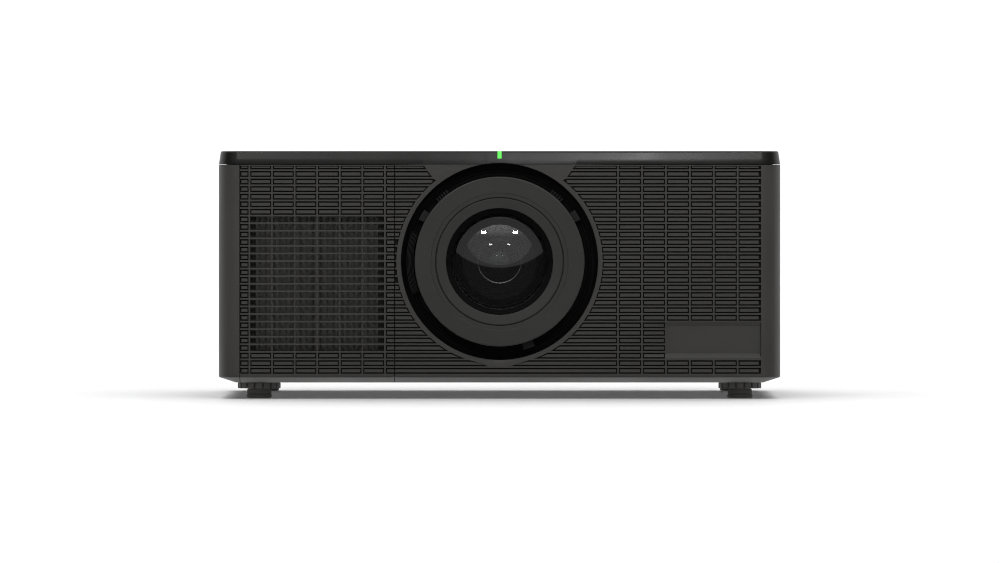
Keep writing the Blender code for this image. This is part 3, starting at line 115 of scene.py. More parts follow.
class PROJECTOR_PG_case(bpy.types.PropertyGroup):
    """Sizes of the case and its louvres."""

    corner: length("Corner radius", 18.0, "Radius of the case's upright corners")
    bevel_in: length("Bevel in", 14.6, "Sideways reach of the bevel round the underside")
    bevel_up: length("Bevel up", 4.7, "Height of the bevel round the underside")
    wall: length("Wall", 3.0, "Thickness of the side walls")
    front_wall: length("Front wall", 6.0, "Thickness of the front wall")
    pitch: length("Louvre pitch", 6.52, "Height from one louvre slot to the next")
    slot: length("Louvre slot", 5.0, "Height of a louvre slot")
    first: length("Lowest slot", 21.75, "Underside of the lowest slot above the floor")
    depth: length("Louvre depth", 4.0, "Depth of a louvre slot")
    edge: length("Edge", 0.22, "Chamfer along each louvre's edges")
    rib: length("Rib", 1.25, "Width of an upright rib in the front face")
    gap: length("Block gap", 1.0, "Gap round the filler block in a louvre cell")
    sink: length("Block sink", 0.35, "How far a filler block lies behind the front face")
    opening: length("Opening radius", 84.8, "Radius of the lens opening")
    rim: length("Rim", 3.9, "Plain rim round the lens opening")
    draft: length("Cover draft", 1.7, "How far the top cover's sides lean in")
    rows: IntProperty(name="Louvre rows", description="Rows of slots", default=28, min=1)


class PROJECTOR_PG_lens(bpy.types.PropertyGroup):
    """Sizes of the lens."""

    flange: length("Flange", 14.2, "Width of the outer flange's flat face")
    step: length("Step", 4.3, "Width of the step between the flange and the inner face")
    dome: length("Dome radius", 112.0, "Radius of the front glass's outer surface")
    pupil: length("Pupil", 20.7, "Radius of the dark opening deep in the lens")


class PROJECTOR_PG_finish(bpy.types.PropertyGroup):
    """Base colours of the finishes."""

    case: colour("Case", (0.0560, 0.0545, 0.0515), "Textured plastic of the case")
    ring: colour("Lens ring", (0.0400, 0.0390, 0.0372), "Satin plastic of the lens ring")
    black: colour("Black plastic", (0.009, 0.009, 0.009), "Plain black plastic")
    rubber: colour("Rubber", (0.115, 0.113, 0.108), "Rubber of the feet")
    metal: colour("Metal", (0.50, 0.51, 0.52), "Machined aluminium")
    light: colour("Status light", (0.12, 0.90, 0.10), "Glow of the status light")


class PROJECTOR_PG_stage(bpy.types.PropertyGroup):
    """The studio."""

    distance: FloatProperty(
        name="Camera distance", description="From the front face to the camera", default=13.6,
        unit="LENGTH", subtype="DISTANCE",
    )
    focal: FloatProperty(
        name="Focal length", description="Camera lens in millimetres", default=568.5,
    )
    height: FloatProperty(
        name="Camera height", description="Height of the camera above the floor", default=0.205,
        unit="LENGTH", subtype="DISTANCE",
    )


def in_mm(group):
    """A settings group's values, with lengths in millimetres and counts as they are."""
    values = {}
    for name, kind in group.bl_rna.properties.items():
        if kind.type == "FLOAT" and kind.unit == "LENGTH":
            values[name] = getattr(group, name) / MM
        elif kind.type == "INT":
            values[name] = getattr(group, name)
    return SimpleNamespace(**values)


# Surfaces

def cells(rows, cols):
    """Corner numbers of every cell of a rows by cols grid of points, anticlockwise."""
    index = np.arange(rows * cols).reshape(rows, cols)
    return np.stack([index[:-1, :-1], index[:-1, 1:], index[1:, 1:], index[1:, :-1]], -1)


def slab(front, back, keep=None):
    """A closed sheet between two grids of points of one shape: the front grid's cells, the back
    grid's cells turned over, and a wall along every edge where a kept cell meets a gap."""
    rows, cols = front.shape[:2]
    count = rows * cols
    keep = np.ones((rows - 1, cols - 1), bool) if keep is None else keep
    quads = cells(rows, cols)
    index = np.arange(count).reshape(rows, cols)
    near = np.pad(keep, 1)
    edges = (
        (near[:-2, 1:-1], index[:-1, 1:], index[:-1, :-1]),
        (near[2:, 1:-1], index[1:, :-1], index[1:, 1:]),
        (near[1:-1, :-2], index[:-1, :-1], index[1:, :-1]),
        (near[1:-1, 2:], index[1:, 1:], index[:-1, 1:]),
    )
    faces = [quads[keep], quads[keep][:, ::-1] + count]
    for neighbour, a, b in edges:
        bare = keep & ~neighbour
        faces.append(np.stack([a[bare], b[bare], b[bare] + count, a[bare] + count], -1))
    return np.concatenate([front.reshape(-1, 3), back.reshape(-1, 3)]), np.concatenate(faces), []


def skin(points, wrap_rows=False, wrap_cols=False, caps=False):
    """The surface through a grid of points. A wrapped direction joins its last line to its
    first, and caps close the first and last rows as flat faces."""
    rows, cols = points.shape[:2]
    index = np.arange(rows * cols).reshape(rows, cols)
    if wrap_rows:
        index = np.vstack([index, index[:1]])
    if wrap_cols:
        index = np.hstack([index, index[:, :1]])
    faces = np.stack([index[:-1, :-1], index[:-1, 1:], index[1:, 1:], index[1:, :-1]], -1)
    ends = [index[0, :cols][::-1].tolist(), index[-1, :cols].tolist()] if caps else []
    return points.reshape(-1, 3), faces.reshape(-1, 4), ends


def outward(surface):
    """The closed surface turned so that its volume, summed over corner tetrahedra, is positive."""
    points, quads, ends = surface
    a, b, c, d = (points[quads[:, k]] for k in range(4))
    volume = np.einsum("ij,ij->", a, np.cross(b, c)) + np.einsum("ij,ij->", a, np.cross(c, d))
    for face in ends:
        corners = points[face]
        fan = np.cross(corners[1:-1], corners[2:])
        volume += (fan @ corners[0]).sum()
    if volume < 0:
        return points, quads[:, ::-1], [face[::-1] for face in ends]
    return surface


def turned(profile, centre, axis="Y", steps=128, closed=True, arc=(0.0, 360.0)):
    """A profile of (distance along the axis, radius) pairs carried round an axis: each point
    goes to radius times (cos, sin) of the angle. A closed profile joins its last point to its
    first; an open one starts and ends on the axis. A part turn is closed by its two end faces."""
    profile = np.array(profile, float)
    whole = arc[1] - arc[0] >= 360.0
    angles = np.radians(np.linspace(arc[0], arc[1], steps, endpoint=not whole))[:, None]
    along = np.broadcast_to(profile[:, 0], (steps, len(profile)))
    first, second = profile[:, 1] * np.cos(angles), profile[:, 1] * np.sin(angles)
    order = {"X": (along, first, second), "Y": (first, along, second), "Z": (first, second, along)}
    points = np.stack(order[axis], -1) + np.array(centre, float)
    return outward(skin(points, wrap_rows=whole, wrap_cols=closed, caps=not whole))


def rounded(profile, radius, steps=4):
    """A closed profile with its corners cut to short curves: each corner is left by `radius`,
    or a third of its shorter side, and bridged by a quadratic curve through the corner."""
    profile = np.array(profile, float)
    before, after = np.roll(profile, 1, 0) - profile, np.roll(profile, -1, 0) - profile
    sides = np.linalg.norm(before, axis=1), np.linalg.norm(after, axis=1)
    reach = np.minimum(radius, np.minimum(*sides) / 3)[:, None]
    start = profile + before / sides[0][:, None] * reach
    end = profile + after / sides[1][:, None] * reach
    t = np.linspace(0, 1, steps)[None, :, None]
    curve = (1 - t) ** 2 * start[:, None] + 2 * t * (1 - t) * profile[:, None] + t ** 2 * end[:, None]
    return curve.reshape(-1, 2)


def prism(outline, low, high, axis="Y", edge=0.0):
    """An outline of (first, second) pairs carried from low to high along an axis, with its ends
    drawn in by `edge` over the same length. For Y the pairs are (x, z), for Z (x, y)."""
    outline = np.array(outline, float)
    middle = (outline.min(0) + outline.max(0)) / 2
    reach = np.maximum(np.abs(outline - middle).max(0), 1e-6)
    small = middle + (outline - middle) * (1 - edge / reach)
    stations = [(low, small), (low + edge, outline), (high - edge, outline), (high, small)]
    if not edge:
        stations = [(low, outline), (high, outline)]
    rings = []
    for level, ring in stations:
        flat = np.full(len(ring), level)
        order = {"X": (flat, ring[:, 0], ring[:, 1]), "Y": (ring[:, 0], flat, ring[:, 1]),
                 "Z": (ring[:, 0], ring[:, 1], flat)}
        rings.append(np.stack(order[axis], -1))
    return outward(skin(np.array(rings), wrap_cols=True, caps=True))


def block(low, high, edge=0.3):
    """A box between two corners with its edges along Y cut by `edge`."""
    outline = [(low[0], low[2]), (high[0], low[2]), (high[0], high[2]), (low[0], high[2])]
    return prism(outline, low[1], high[1], "Y", edge)


def put(name, surfaces, body, material, replaces=(), recess=None, crease=32.0):
    """Joins surfaces into one object at the origin, in metres, closes seams and poles, shades it
    smooth below the crease angle, and gives it its body, slot, material and replaced nodes.
    `recess` holds how deep in a louvre each point lies, from 0 at the face to 1 at the floor; it is
    stored as the mask by which shade is painted into the louvres."""
    shape = bmesh.new()
    start, points, faces = 0, [], []
    for vertices, quads, ends in surfaces:
        points.append(vertices)
        faces += (quads + start).tolist()
        faces += [[start + corner for corner in face] for face in ends]
        start += len(vertices)
    mesh = bpy.data.meshes.new(name)
    mesh.from_pydata((np.concatenate(points) * MM).tolist(), [], faces)
    # the recess is kept as a point attribute, the mask of the louvres' painted shade
    if recess is not None:
        depths = mesh.attributes.new("recess", "FLOAT", "POINT")
        depths.data.foreach_set("value", np.concatenate(recess).astype(np.float32))
    shape.from_mesh(mesh)
    loose = [v for v in shape.verts if not v.link_faces]
    bmesh.ops.delete(shape, geom=loose, context="VERTS")
    bmesh.ops.remove_doubles(shape, verts=shape.verts, dist=2e-6)
    bmesh.ops.dissolve_degenerate(shape, edges=shape.edges, dist=1e-6)
    shape.to_mesh(mesh)
    shape.free()
    mesh.shade_smooth()
    mesh.set_sharp_from_angle(angle=math.radians(crease))
    mesh.materials.append(material)
    piece = bpy.data.objects.new(name, mesh)
    bpy.context.scene.collection.objects.link(piece)
    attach(piece, body)
    if replaces:
        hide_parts(*replaces)
    return piece


# Materials

GRAIN_HEIGHT = 0.1
# painted shade: the near-black that the louvres' walls and floors are darkened towards
PAINTED_LOUVRE_SHADE = (0.0006, 0.0006, 0.0006, 1.0)
GLASS_INDEX = 2.0
COVER_SHARE = 0.22        # the cover's base colour as a share of the case's
INNER_PAINTED_SHADE = 0.3        # share of the louvres' painted shade that the wall's inner face gets


def add_node(tree, kind, place, **values):
    """A node at a place in the tree, with its settings."""
    node = tree.nodes.new(kind)
    node.location = place
    for name, value in values.items():
        setattr(node, name, value)
    return node


def open_group(name, inputs, outputs):
    """A new shader group with named number inputs (name, default) and outputs, and its ends."""
    tree = bpy.data.node_groups.new(name, "ShaderNodeTree")
    tree.interface.new_socket("Position", in_out="INPUT", socket_type="NodeSocketVector")
    for label, default in inputs:
        socket = tree.interface.new_socket(label, in_out="INPUT", socket_type="NodeSocketFloat")
        socket.default_value = default
    for label in outputs:
        tree.interface.new_socket(label, in_out="OUTPUT", socket_type="NodeSocketFloat")
    start = add_node(tree, "NodeGroupInput", (-700, 0))
    end = add_node(tree, "NodeGroupOutput", (500, 0))
    return tree, start, end


def grain_group():
    """Moulded grain: rounded pits from smooth cells, roughened by fine noise.
    Height = cell distance and noise, mixed three to one; Mottle is the same noise, coarser."""
    tree, start, end = open_group("moulded_grain", [("Size", 900.0)], ("Height", "Mottle"))
    pits = add_node(tree, "ShaderNodeTexVoronoi", (-450, 120), feature="SMOOTH_F1")
    fine = add_node(tree, "ShaderNodeTexNoise", (-450, -160))
    fine.inputs["Detail"].default_value = 3.0
    coarse = add_node(tree, "ShaderNodeTexNoise", (-450, -420))
    coarse.inputs["Scale"].default_value = 14.0
    coarse.inputs["Detail"].default_value = 4.0
    blend = add_node(tree, "ShaderNodeMix", (0, 60))
    blend.inputs[0].default_value = 0.25
    link = tree.links.new
    for node in (pits, fine, coarse):
        link(start.outputs["Position"], node.inputs["Vector"])
    link(start.outputs["Size"], pits.inputs["Scale"])
    link(start.outputs["Size"], fine.inputs["Scale"])
    link(pits.outputs["Distance"], blend.inputs[2])
    link(fine.outputs[0], blend.inputs[3])
    link(blend.outputs[0], end.inputs["Height"])
    link(coarse.outputs[0], end.inputs["Mottle"])
    return tree


def brushed_group():
    """Machining marks: noise stretched along X, so it changes fast across the marks and slowly
    along them. Height is the noise; Mottle is a soft, even cloud."""
    tree, start, end = open_group("machined_marks", [("Size", 700.0)], ("Height", "Mottle"))
    stretch = add_node(tree, "ShaderNodeMapping", (-450, 120))
    stretch.inputs["Scale"].default_value = (0.04, 1.0, 1.0)
    marks = add_node(tree, "ShaderNodeTexNoise", (-200, 120))
    cloud = add_node(tree, "ShaderNodeTexNoise", (-200, -200))
    cloud.inputs["Scale"].default_value = 22.0
    link = tree.links.new
    link(start.outputs["Position"], stretch.inputs["Vector"])
    link(stretch.outputs[0], marks.inputs["Vector"])
    link(start.outputs["Size"], marks.inputs["Scale"])
    link(start.outputs["Position"], cloud.inputs["Vector"])
    link(marks.outputs[0], end.inputs["Height"])
    link(cloud.outputs[0], end.inputs["Mottle"])
    return tree


def painted_shade_group():
    """Painted shade in the louvres: the mask is the piece's recess, raised to a power so that it
    reaches full strength soon below the face, times Strength."""
    tree = bpy.data.node_groups.new("painted_louvre_shade", "ShaderNodeTree")
    strength = tree.interface.new_socket("Strength", in_out="INPUT", socket_type="NodeSocketFloat")
    strength.default_value = 1.0
    tree.interface.new_socket("Mask", in_out="OUTPUT", socket_type="NodeSocketFloat")
    start = add_node(tree, "NodeGroupInput", (-500, -100))
    end = add_node(tree, "NodeGroupOutput", (300, 0))
    recess = add_node(tree, "ShaderNodeAttribute", (-500, 100), attribute_name="recess")
    soon = add_node(tree, "ShaderNodeMath", (-250, 100), operation="POWER")
    soon.inputs[1].default_value = 0.5
    mask = add_node(tree, "ShaderNodeMath", (0, 0), operation="MULTIPLY")
    tree.links.new(recess.outputs["Fac"], soon.inputs[0])
    tree.links.new(soon.outputs[0], mask.inputs[0])
    tree.links.new(start.outputs["Strength"], mask.inputs[1])
    tree.links.new(mask.outputs[0], end.inputs["Mask"])
    return tree


def paint_louvre_shade(material, group):
    """Paints shade into the finish's colour: darkens it towards near-black by the louvres' mask."""
    tree = material.node_tree
    shader = tree.nodes["Principled BSDF"]
    tone = shader.inputs["Base Color"].links[0].from_socket
    shade = add_node(tree, "ShaderNodeGroup", (-450, 480), node_tree=group)
    darker = add_node(tree, "ShaderNodeMix", (-200, 300), data_type="RGBA")
    darker.inputs[7].default_value = PAINTED_LOUVRE_SHADE
    tree.links.new(shade.outputs["Mask"], darker.inputs[0])
    tree.links.new(tone, darker.inputs[6])
    tree.links.new(darker.outputs[2], shader.inputs["Base Color"])


def finish_material(name, base, roughness, pattern, size, bump, spread=0.12, metallic=0.0,
                    rough_spread=0.06, specular=0.5):
    """A finish whose colour and roughness wander by `spread` and `rough_spread` with the
    pattern's mottle, and whose surface is raised by its height."""
    material = bpy.data.materials.new(name)
    material.use_nodes = True
    tree = material.node_tree
    shader = tree.nodes["Principled BSDF"]
    shader.inputs["Metallic"].default_value = metallic
    shader.inputs["Specular IOR Level"].default_value = specular
    place = add_node(tree, "ShaderNodeTexCoord", (-1100, 0))
    group = add_node(tree, "ShaderNodeGroup", (-850, 0), node_tree=pattern)
    group.inputs["Size"].default_value = size
    tone = add_node(tree, "ShaderNodeMix", (-450, 200), data_type="RGBA")
    base = np.array(base)
    tone.inputs[6].default_value = (*np.clip(base * (1 - spread), 0, 1), 1.0)
    tone.inputs[7].default_value = (*np.clip(base * (1 + spread), 0, 1), 1.0)
    gloss = add_node(tree, "ShaderNodeMapRange", (-450, -40))
    gloss.inputs["From Min"].default_value = 0.3
    gloss.inputs["From Max"].default_value = 0.7
    gloss.inputs["To Min"].default_value = roughness - rough_spread
    gloss.inputs["To Max"].default_value = roughness + rough_spread
    link = tree.links.new
    link(place.outputs["Object"], group.inputs["Position"])
    link(group.outputs["Mottle"], tone.inputs[0])
    link(group.outputs["Mottle"], gloss.inputs["Value"])
    link(tone.outputs[2], shader.inputs["Base Color"])
    link(gloss.outputs[0], shader.inputs["Roughness"])
    if bump:
        raised = add_node(tree, "ShaderNodeBump", (-450, -320))
        raised.inputs["Strength"].default_value = bump
        raised.inputs["Distance"].default_value = GRAIN_HEIGHT * MM
        link(group.outputs["Height"], raised.inputs["Height"])
        link(raised.outputs[0], shader.inputs["Normal"])
    return material


def glass_material(name, tint, roughness, pattern):
    """Clear glass with a faint smear of dust that only touches its roughness."""
    material = finish_material(name, tint, roughness + 0.004, pattern, 300.0, 0.0, 0.01, 0.0, 0.004)
    shader = material.node_tree.nodes["Principled BSDF"]
    shader.inputs["Transmission Weight"].default_value = 1.0
    shader.inputs["IOR"].default_value = GLASS_INDEX
    return material


def coated_material(name, base, roughness, pattern, sheen_tint):
    """Dark coated glass: a near-black body under a smooth coat that tints what it mirrors."""
    material = finish_material(name, base, roughness, pattern, 300.0, 0.0, 0.2, 0.0, 0.01)
    shader = material.node_tree.nodes["Principled BSDF"]
    shader.inputs["Specular Tint"].default_value = (*sheen_tint, 1.0)
    shader.inputs["Specular IOR Level"].default_value = 0.9
    return material


def light_material(name, glow, pattern):
    """A lit light guide: its glow is stronger in the middle of a soft cloud."""
    material = finish_material(name, glow, 0.3, pattern, 600.0, 0.1, 0.1, 0.0, 0.04)
    tree = material.node_tree
    shader = tree.nodes["Principled BSDF"]
    tree.links.new(tree.nodes["Mix"].outputs[2], shader.inputs["Emission Color"])
    shader.inputs["Emission Strength"].default_value = 0.55
    return material


MATERIALS = {}


class PROJECTOR_OT_materials(bpy.types.Operator):
    """Make the finishes, and lay them on the frame's own nodes"""

    bl_idname = "projector.materials"
    bl_label = "Materials"

    def execute(self, context):
        finish = context.scene.projector_finish
        grain, marks = grain_group(), brushed_group()
        case = tuple(finish.case)
        made = {
            "case_plastic": finish_material("case_plastic", case, 0.43, grain, 1300.0, 0.55, 0.10),
            "cover_plastic": finish_material(
                "cover_plastic", tuple(COVER_SHARE * c for c in case), 0.27, grain, 1300.0, 0.25, 0.08),
            "lens_ring": finish_material("lens_ring", tuple(finish.ring), 0.40, grain, 1500.0, 0.3, 0.08),
            "black_plastic": finish_material(
                "black_plastic", tuple(finish.black), 0.5, grain, 900.0, 0.4, 0.2),
            "baffle_black": finish_material(
                "baffle_black", (0.003, 0.003, 0.003), 0.7, grain, 700.0, 0.5, 0.3, 0.0, 0.06, 0.2),
            "bright_edge": finish_material(
                "bright_edge", (0.30, 0.30, 0.30), 0.18, marks, 700.0, 0.1, 0.1, 1.0, 0.05),
            "filler_plastic": finish_material(
                "filler_plastic", case, 0.47, grain, 1300.0, 0.6, 0.12),
            "foot_plastic": finish_material(
                "foot_plastic", tuple(finish.rubber), 0.55, grain, 900.0, 0.4, 0.15),
            "rubber": finish_material("rubber", tuple(finish.rubber), 0.75, grain, 700.0, 0.8, 0.2),
            "aluminium": finish_material(
                "aluminium", tuple(finish.metal), 0.36, marks, 700.0, 0.3, 0.08, 1.0, 0.08),
            "steel": finish_material("steel", (0.42, 0.42, 0.43), 0.40, marks, 500.0, 0.3, 0.1, 1.0, 0.08),
            "filter_media": finish_material(
                "filter_media", (0.150, 0.150, 0.143), 0.9, grain, 450.0, 0.3, 0.08),
            "circuit_board": finish_material(
                "circuit_board", (0.010, 0.055, 0.022), 0.45, grain, 500.0, 0.4, 0.3),
            "contact_gold": finish_material(
                "contact_gold", (0.70, 0.50, 0.20), 0.3, marks, 700.0, 0.2, 0.08, 1.0),
            "glass": glass_material("glass", (0.96, 0.97, 0.96), 0.0, grain),
            "lens_coating": coated_material(
                "lens_coating", (0.004, 0.005, 0.005), 0.05, grain, (0.75, 1.0, 0.85)),
            "status_lens": light_material("status_lens", tuple(finish.light), grain),
        }
        # paint shade into the louvres of the case and of its filler blocks, by each piece's recess
        shade = painted_shade_group()
        for name in ("case_plastic", "filler_plastic"):
            paint_louvre_shade(made[name], shade)
        MATERIALS.update(made)
        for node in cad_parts.values():
            slot = node.data.materials[0].name.split(".")[0]
            node.data.materials[0] = made[slot]
        return {"FINISHED"}


# Case

def outline(s, corner):
    """Plan place and outward normal of the case's outline, s millimetres from the middle of its
    front: a straight run, a quarter circle, the side, a quarter circle and the rear's run, and
    the same mirrored for negative s."""
    side = np.where(np.asarray(s) < 0, -1.0, 1.0)
    run = np.abs(s)
    front, depth, arc = HALF - corner, REAR - FRONT - 2 * corner, corner * math.pi / 2
    a = np.clip((run - front) / corner, 0, math.pi / 2)
    b = np.clip((run - front - arc - depth) / corner, 0, math.pi / 2)
    ahead = np.clip(run - front - arc, 0, depth)
    back = np.clip(run - front - 2 * arc - depth, 0, front)
    x = np.minimum(run, front) + corner * np.sin(a) - corner * (1 - np.cos(b)) - back
    y = FRONT + corner * (1 - np.cos(a)) + ahead + corner * np.sin(b)
    return side * x, y, side * np.sin(a + b), -np.cos(a + b)


def on_case(s, z, inset, corner):
    """Points at s along the outline and height z, moved in along the normal by inset."""
    x, y, nx, ny = outline(s, corner)
    return np.stack(np.broadcast_arrays(x - inset * nx, y - inset * ny, z), -1)


def side_run(y, corner):
    """How far along the outline the side reaches depth y."""
    return HALF - corner + corner * math.pi / 2 + y - FRONT - corner


def bevel_lines(case):
    """Heights of the bevel's and the upper edge's lines."""
    top = LOW + case.bevel_up
    return [LOW, LOW + 0.4, top - 0.4, top + 0.05, top + 0.5, top + 0.9, WALL_TOP - 0.3, WALL_TOP]


def outer_inset(z, case):
    """How far the wall's outer face lies in: the bevel's slope, a small round above it, and a
    small round under the parting line."""
    top = LOW + case.bevel_up
    slope = case.bevel_in / case.bevel_up
    knots = [LOW, top - 0.4, top + 0.05, top + 0.5, top + 0.9, WALL_TOP - 0.3, WALL_TOP]
    return np.interp(z, knots, [case.bevel_in, 0.4 * slope, 0.35, 0.05, 0.0, 0.0, 0.3])


def wall_back(s, z, wall, case):
    """The wall's inner face: the inset lip over the bevel, then the wall's own thickness."""
    top = LOW + case.bevel_up
    inset = np.interp(z, [LOW, LOW + 0.4, top + 0.9], [1.0, 1.0, 0.0])
    inset = inset * (case.bevel_in + 2.0) + (1 - inset) * wall
    height = np.interp(z, [LOW, LOW + 0.4, top + 0.9, top + 2.6, WALL_TOP],
                       [LOW, LOW + 2.6, LOW + 6.5, top + 2.6, WALL_TOP])
    return on_case(s, height, inset, case.corner)


def louvre_rows(case):
    """Lower and upper edge of every louvre slot."""
    low = case.first + case.pitch * np.arange(case.rows)
    return low, np.minimum(low + case.slot, PARTING - 1.2)


def slot_lines(low, high, edge):
    """Heights at which a slot's section turns: its chamfers, walls and floor."""
    return np.concatenate([low - edge, low, low + HAIR, high - HAIR, high, high + edge])


def slot_depth(z, low, high, case):
    """Depth of the louvre pattern at height z: nothing on a slat, a chamfer, a steep wall, and
    the floor inside a slot."""
    knots = np.stack([low - case.edge, low, low + HAIR, high - HAIR, high, high + case.edge], 1)
    depths = np.tile([0.0, case.edge, case.depth, case.depth, case.edge, 0.0], len(low))
    return np.interp(z, knots.ravel(), depths)


def edge_depth(u, case):
    """Depth at a distance u inside a cell's edge: chamfer, steep wall, floor."""
    return np.interp(u, [0.0, case.edge, case.edge + HAIR], [0.0, case.edge, case.depth])


def rib_depth(x, ribs, case):
    """Depth beside upright ribs, by the distance to the nearest rib's side."""
    u = np.abs(np.asarray(x)[..., None] - np.asarray(ribs)).min(-1) - case.rib / 2
    return edge_depth(u, case)


def rib_lines(ribs, case):
    """Places across each rib where its section turns."""
    half = case.rib / 2
    offsets = np.array([0.0, case.edge, case.edge + HAIR]) + half
    return (np.asarray(ribs)[:, None] + np.concatenate([-offsets, offsets])).ravel()


LEAST_BLOCK = 1.6         # narrowest cell that still gets a block
CUT_ROW_GAP = 0.5         # gap over the blocks of the row that the parting line cuts short


def filler_blocks(x, z, case):
    """Filler blocks in louvre cells. x and z are (count, 4) corners, anticlockwise from the
    lower left: a foot ring in the slot's floor, a shoulder ring just under the face, and a
    face ring drawn in by the chamfer, each sunk by the recess beside the lens."""
    wide = np.minimum(x[:, 1] - x[:, 0], x[:, 2] - x[:, 3]) > LEAST_BLOCK
    x, z = x[wide], z[wide]
    edge = case.edge
    across, up = np.array([-1, 1, 1, -1]) * edge, np.array([-1, -1, 1, 1]) * edge
    rings = [(x, z, case.depth + 0.2), (x, z, case.sink + edge), (x - across, z - up, case.sink)]
    points = np.stack([on_case(a, b, d + badge_depth(a, b), case.corner) for a, b, d in rings], 1)
    count = len(points)
    ring = np.arange(12).reshape(3, 4)
    after = np.roll(ring, -1, 1)
    sides = np.stack([ring[:-1], after[:-1], after[1:], ring[1:]], -1).reshape(-1, 4)
    faces = np.vstack([sides, ring[2], ring[0][::-1]])
    faces = (faces[None] + 12 * np.arange(count)[:, None, None]).reshape(-1, 4)
    return points.reshape(-1, 3), faces, []


def filler_painted_shade(fillers):
    """Painted-shade mask of the blocks: 1 on a foot ring, deep in the slot's floor, 0 on the two rings
    above it.
    """
    return [np.tile(np.repeat([1.0, 0.0, 0.0], 4), len(points) // 12) for points, _, _ in fillers]


def cell_blocks(cells_x, low, high, case):
    """Upright-ended blocks for every pair of a cell (x from, x to) and a row (low, high)."""
    x0, x1 = (np.repeat([c[k] for c in cells_x], len(low)) for k in (0, 1))
    z0, z1 = np.tile(low, len(cells_x)), np.tile(high, len(cells_x))
    above = np.where(z1 - z0 < case.slot - 0.1, CUT_ROW_GAP, case.gap + 0.1)
    z0, z1 = z0 + case.gap + 0.1, z1 - above
    return filler_blocks(np.stack([x0, x1, x1, x0], 1), np.stack([z0, z0, z1, z1], 1), case)


DOOR_RIBS = np.linspace(door_low[0] + 8.0, door_high[0] - 8.1, 7)
WINDOW_ROW, WINDOW_ROWS, WINDOW_RIB = 3, 18, 1.3
SLAT_DEPTH = 1.6


class PROJECTOR_OT_filter_door(bpy.types.Operator):
    """Build the louvred filter door with its open air window"""

    bl_idname = "projector.filter_door"
    bl_label = "Filter door"

    def execute(self, context):
        case = in_mm(context.scene.projector_case)
        low, high = louvre_rows(case)
        window = (low[WINDOW_ROW], high[WINDOW_ROW + WINDOW_ROWS - 1])
        half = WINDOW_RIB / 2
        behind = np.array([-half - HAIR, -half, half, half + HAIR])
        s = np.unique(np.concatenate([
            [door_low[0], door_high[0]], rib_lines(DOOR_RIBS, case),
            (DOOR_RIBS[:, None] + behind).ravel(),
        ]).round(4))
        z = np.unique(np.concatenate([bevel_lines(case), slot_lines(low, high, case.edge)]).round(4))
        grid_s, grid_z = np.meshgrid(s, z)
        near_rib = np.abs(grid_s[..., None] - DOOR_RIBS).min(-1)
        inside = (grid_s > DOOR_RIBS[0]) & (grid_s < DOOR_RIBS[-1])
        in_window = inside & (grid_z > window[0] + HAIR / 2) & (grid_z < window[1] - HAIR / 2)
        ribs = np.where(in_window, rib_depth(grid_s, DOOR_RIBS[[0, -1]], case),
                        rib_depth(grid_s, DOOR_RIBS, case))
        depth = np.minimum(slot_depth(grid_z, low, high, case), ribs)
        open_cell = in_window & (near_rib > half + HAIR / 2)
        depth = np.where(in_window, np.minimum(depth, SLAT_DEPTH), depth)
        # painted-shade mask: the louvres darken with depth, the open window gets none
        recess = np.where(in_window, 0.0, depth / case.depth).ravel()
        front = on_case(grid_s, grid_z, outer_inset(grid_z, case) + depth, case.corner)
        back = wall_back(grid_s, grid_z, case.front_wall, case)
        thin = on_case(grid_s, grid_z, SLAT_DEPTH + 0.3, case.corner)
        back = np.where(open_cell[..., None], thin, back)
        middle_s, middle_z = (s[:-1] + s[1:]) / 2, (z[:-1] + z[1:]) / 2
        open_s = (np.abs(middle_s[:, None] - DOOR_RIBS).min(-1) > half + HAIR)
        open_s &= (middle_s > DOOR_RIBS[0]) & (middle_s < DOOR_RIBS[-1])
        rows = slice(WINDOW_ROW, WINDOW_ROW + WINDOW_ROWS)
        open_z = ((middle_z[:, None] > low[rows] + HAIR) & (middle_z[:, None] < high[rows] - HAIR)).any(-1)
        sheet = slab(front, back, ~(open_z[:, None] & open_s[None, :]))
        inner = case.rib / 2 + case.gap
        edges = [door_low[0] + 0.5, *DOOR_RIBS, door_high[0] - 0.1]
        spans = [(a + inner, b - inner) for a, b in zip(edges, edges[1:])]
        spans[0] = (door_low[0] + 1.0, spans[0][1])
        spans[-1] = (spans[-1][0], door_high[0] - 0.05)
        solid = np.ones(case.rows, bool)
        solid[rows] = False
        fillers = [cell_blocks(spans, low[solid], high[solid], case),
                   cell_blocks([spans[0], spans[-1]], low[rows], high[rows], case)]
        put("filter_door_skin", [sheet], "door", MATERIALS["case_plastic"],
            ("filter_door",), [recess, np.full_like(recess, INNER_PAINTED_SHADE)])
        put("filter_door_fillers", fillers, "door", MATERIALS["filler_plastic"],
            recess=filler_painted_shade(fillers))
        return {"FINISHED"}


def plain_half(z, case):
    """Half-width of the plain area round the lens opening at height z: the rim's circle, the
    crest above it whose sides lean out to the parting line, and the stub under it."""
    rim = case.opening + case.rim
    reach = np.sqrt(np.maximum(rim ** 2 - (z - LENS_Z) ** 2, 0.0))
    share = (z - (PARTING - CREST_HEIGHT)) / CREST_HEIGHT
    crest = CREST_LOW + share * (CREST_TOP - CREST_LOW)
    reach = np.where(share > 0, np.maximum(reach, crest), reach)
    stub = (z > LENS_Z - rim - STUB_DROP) & (z < LENS_Z)
    return np.where(stub, np.maximum(reach, STUB_HALF), reach)


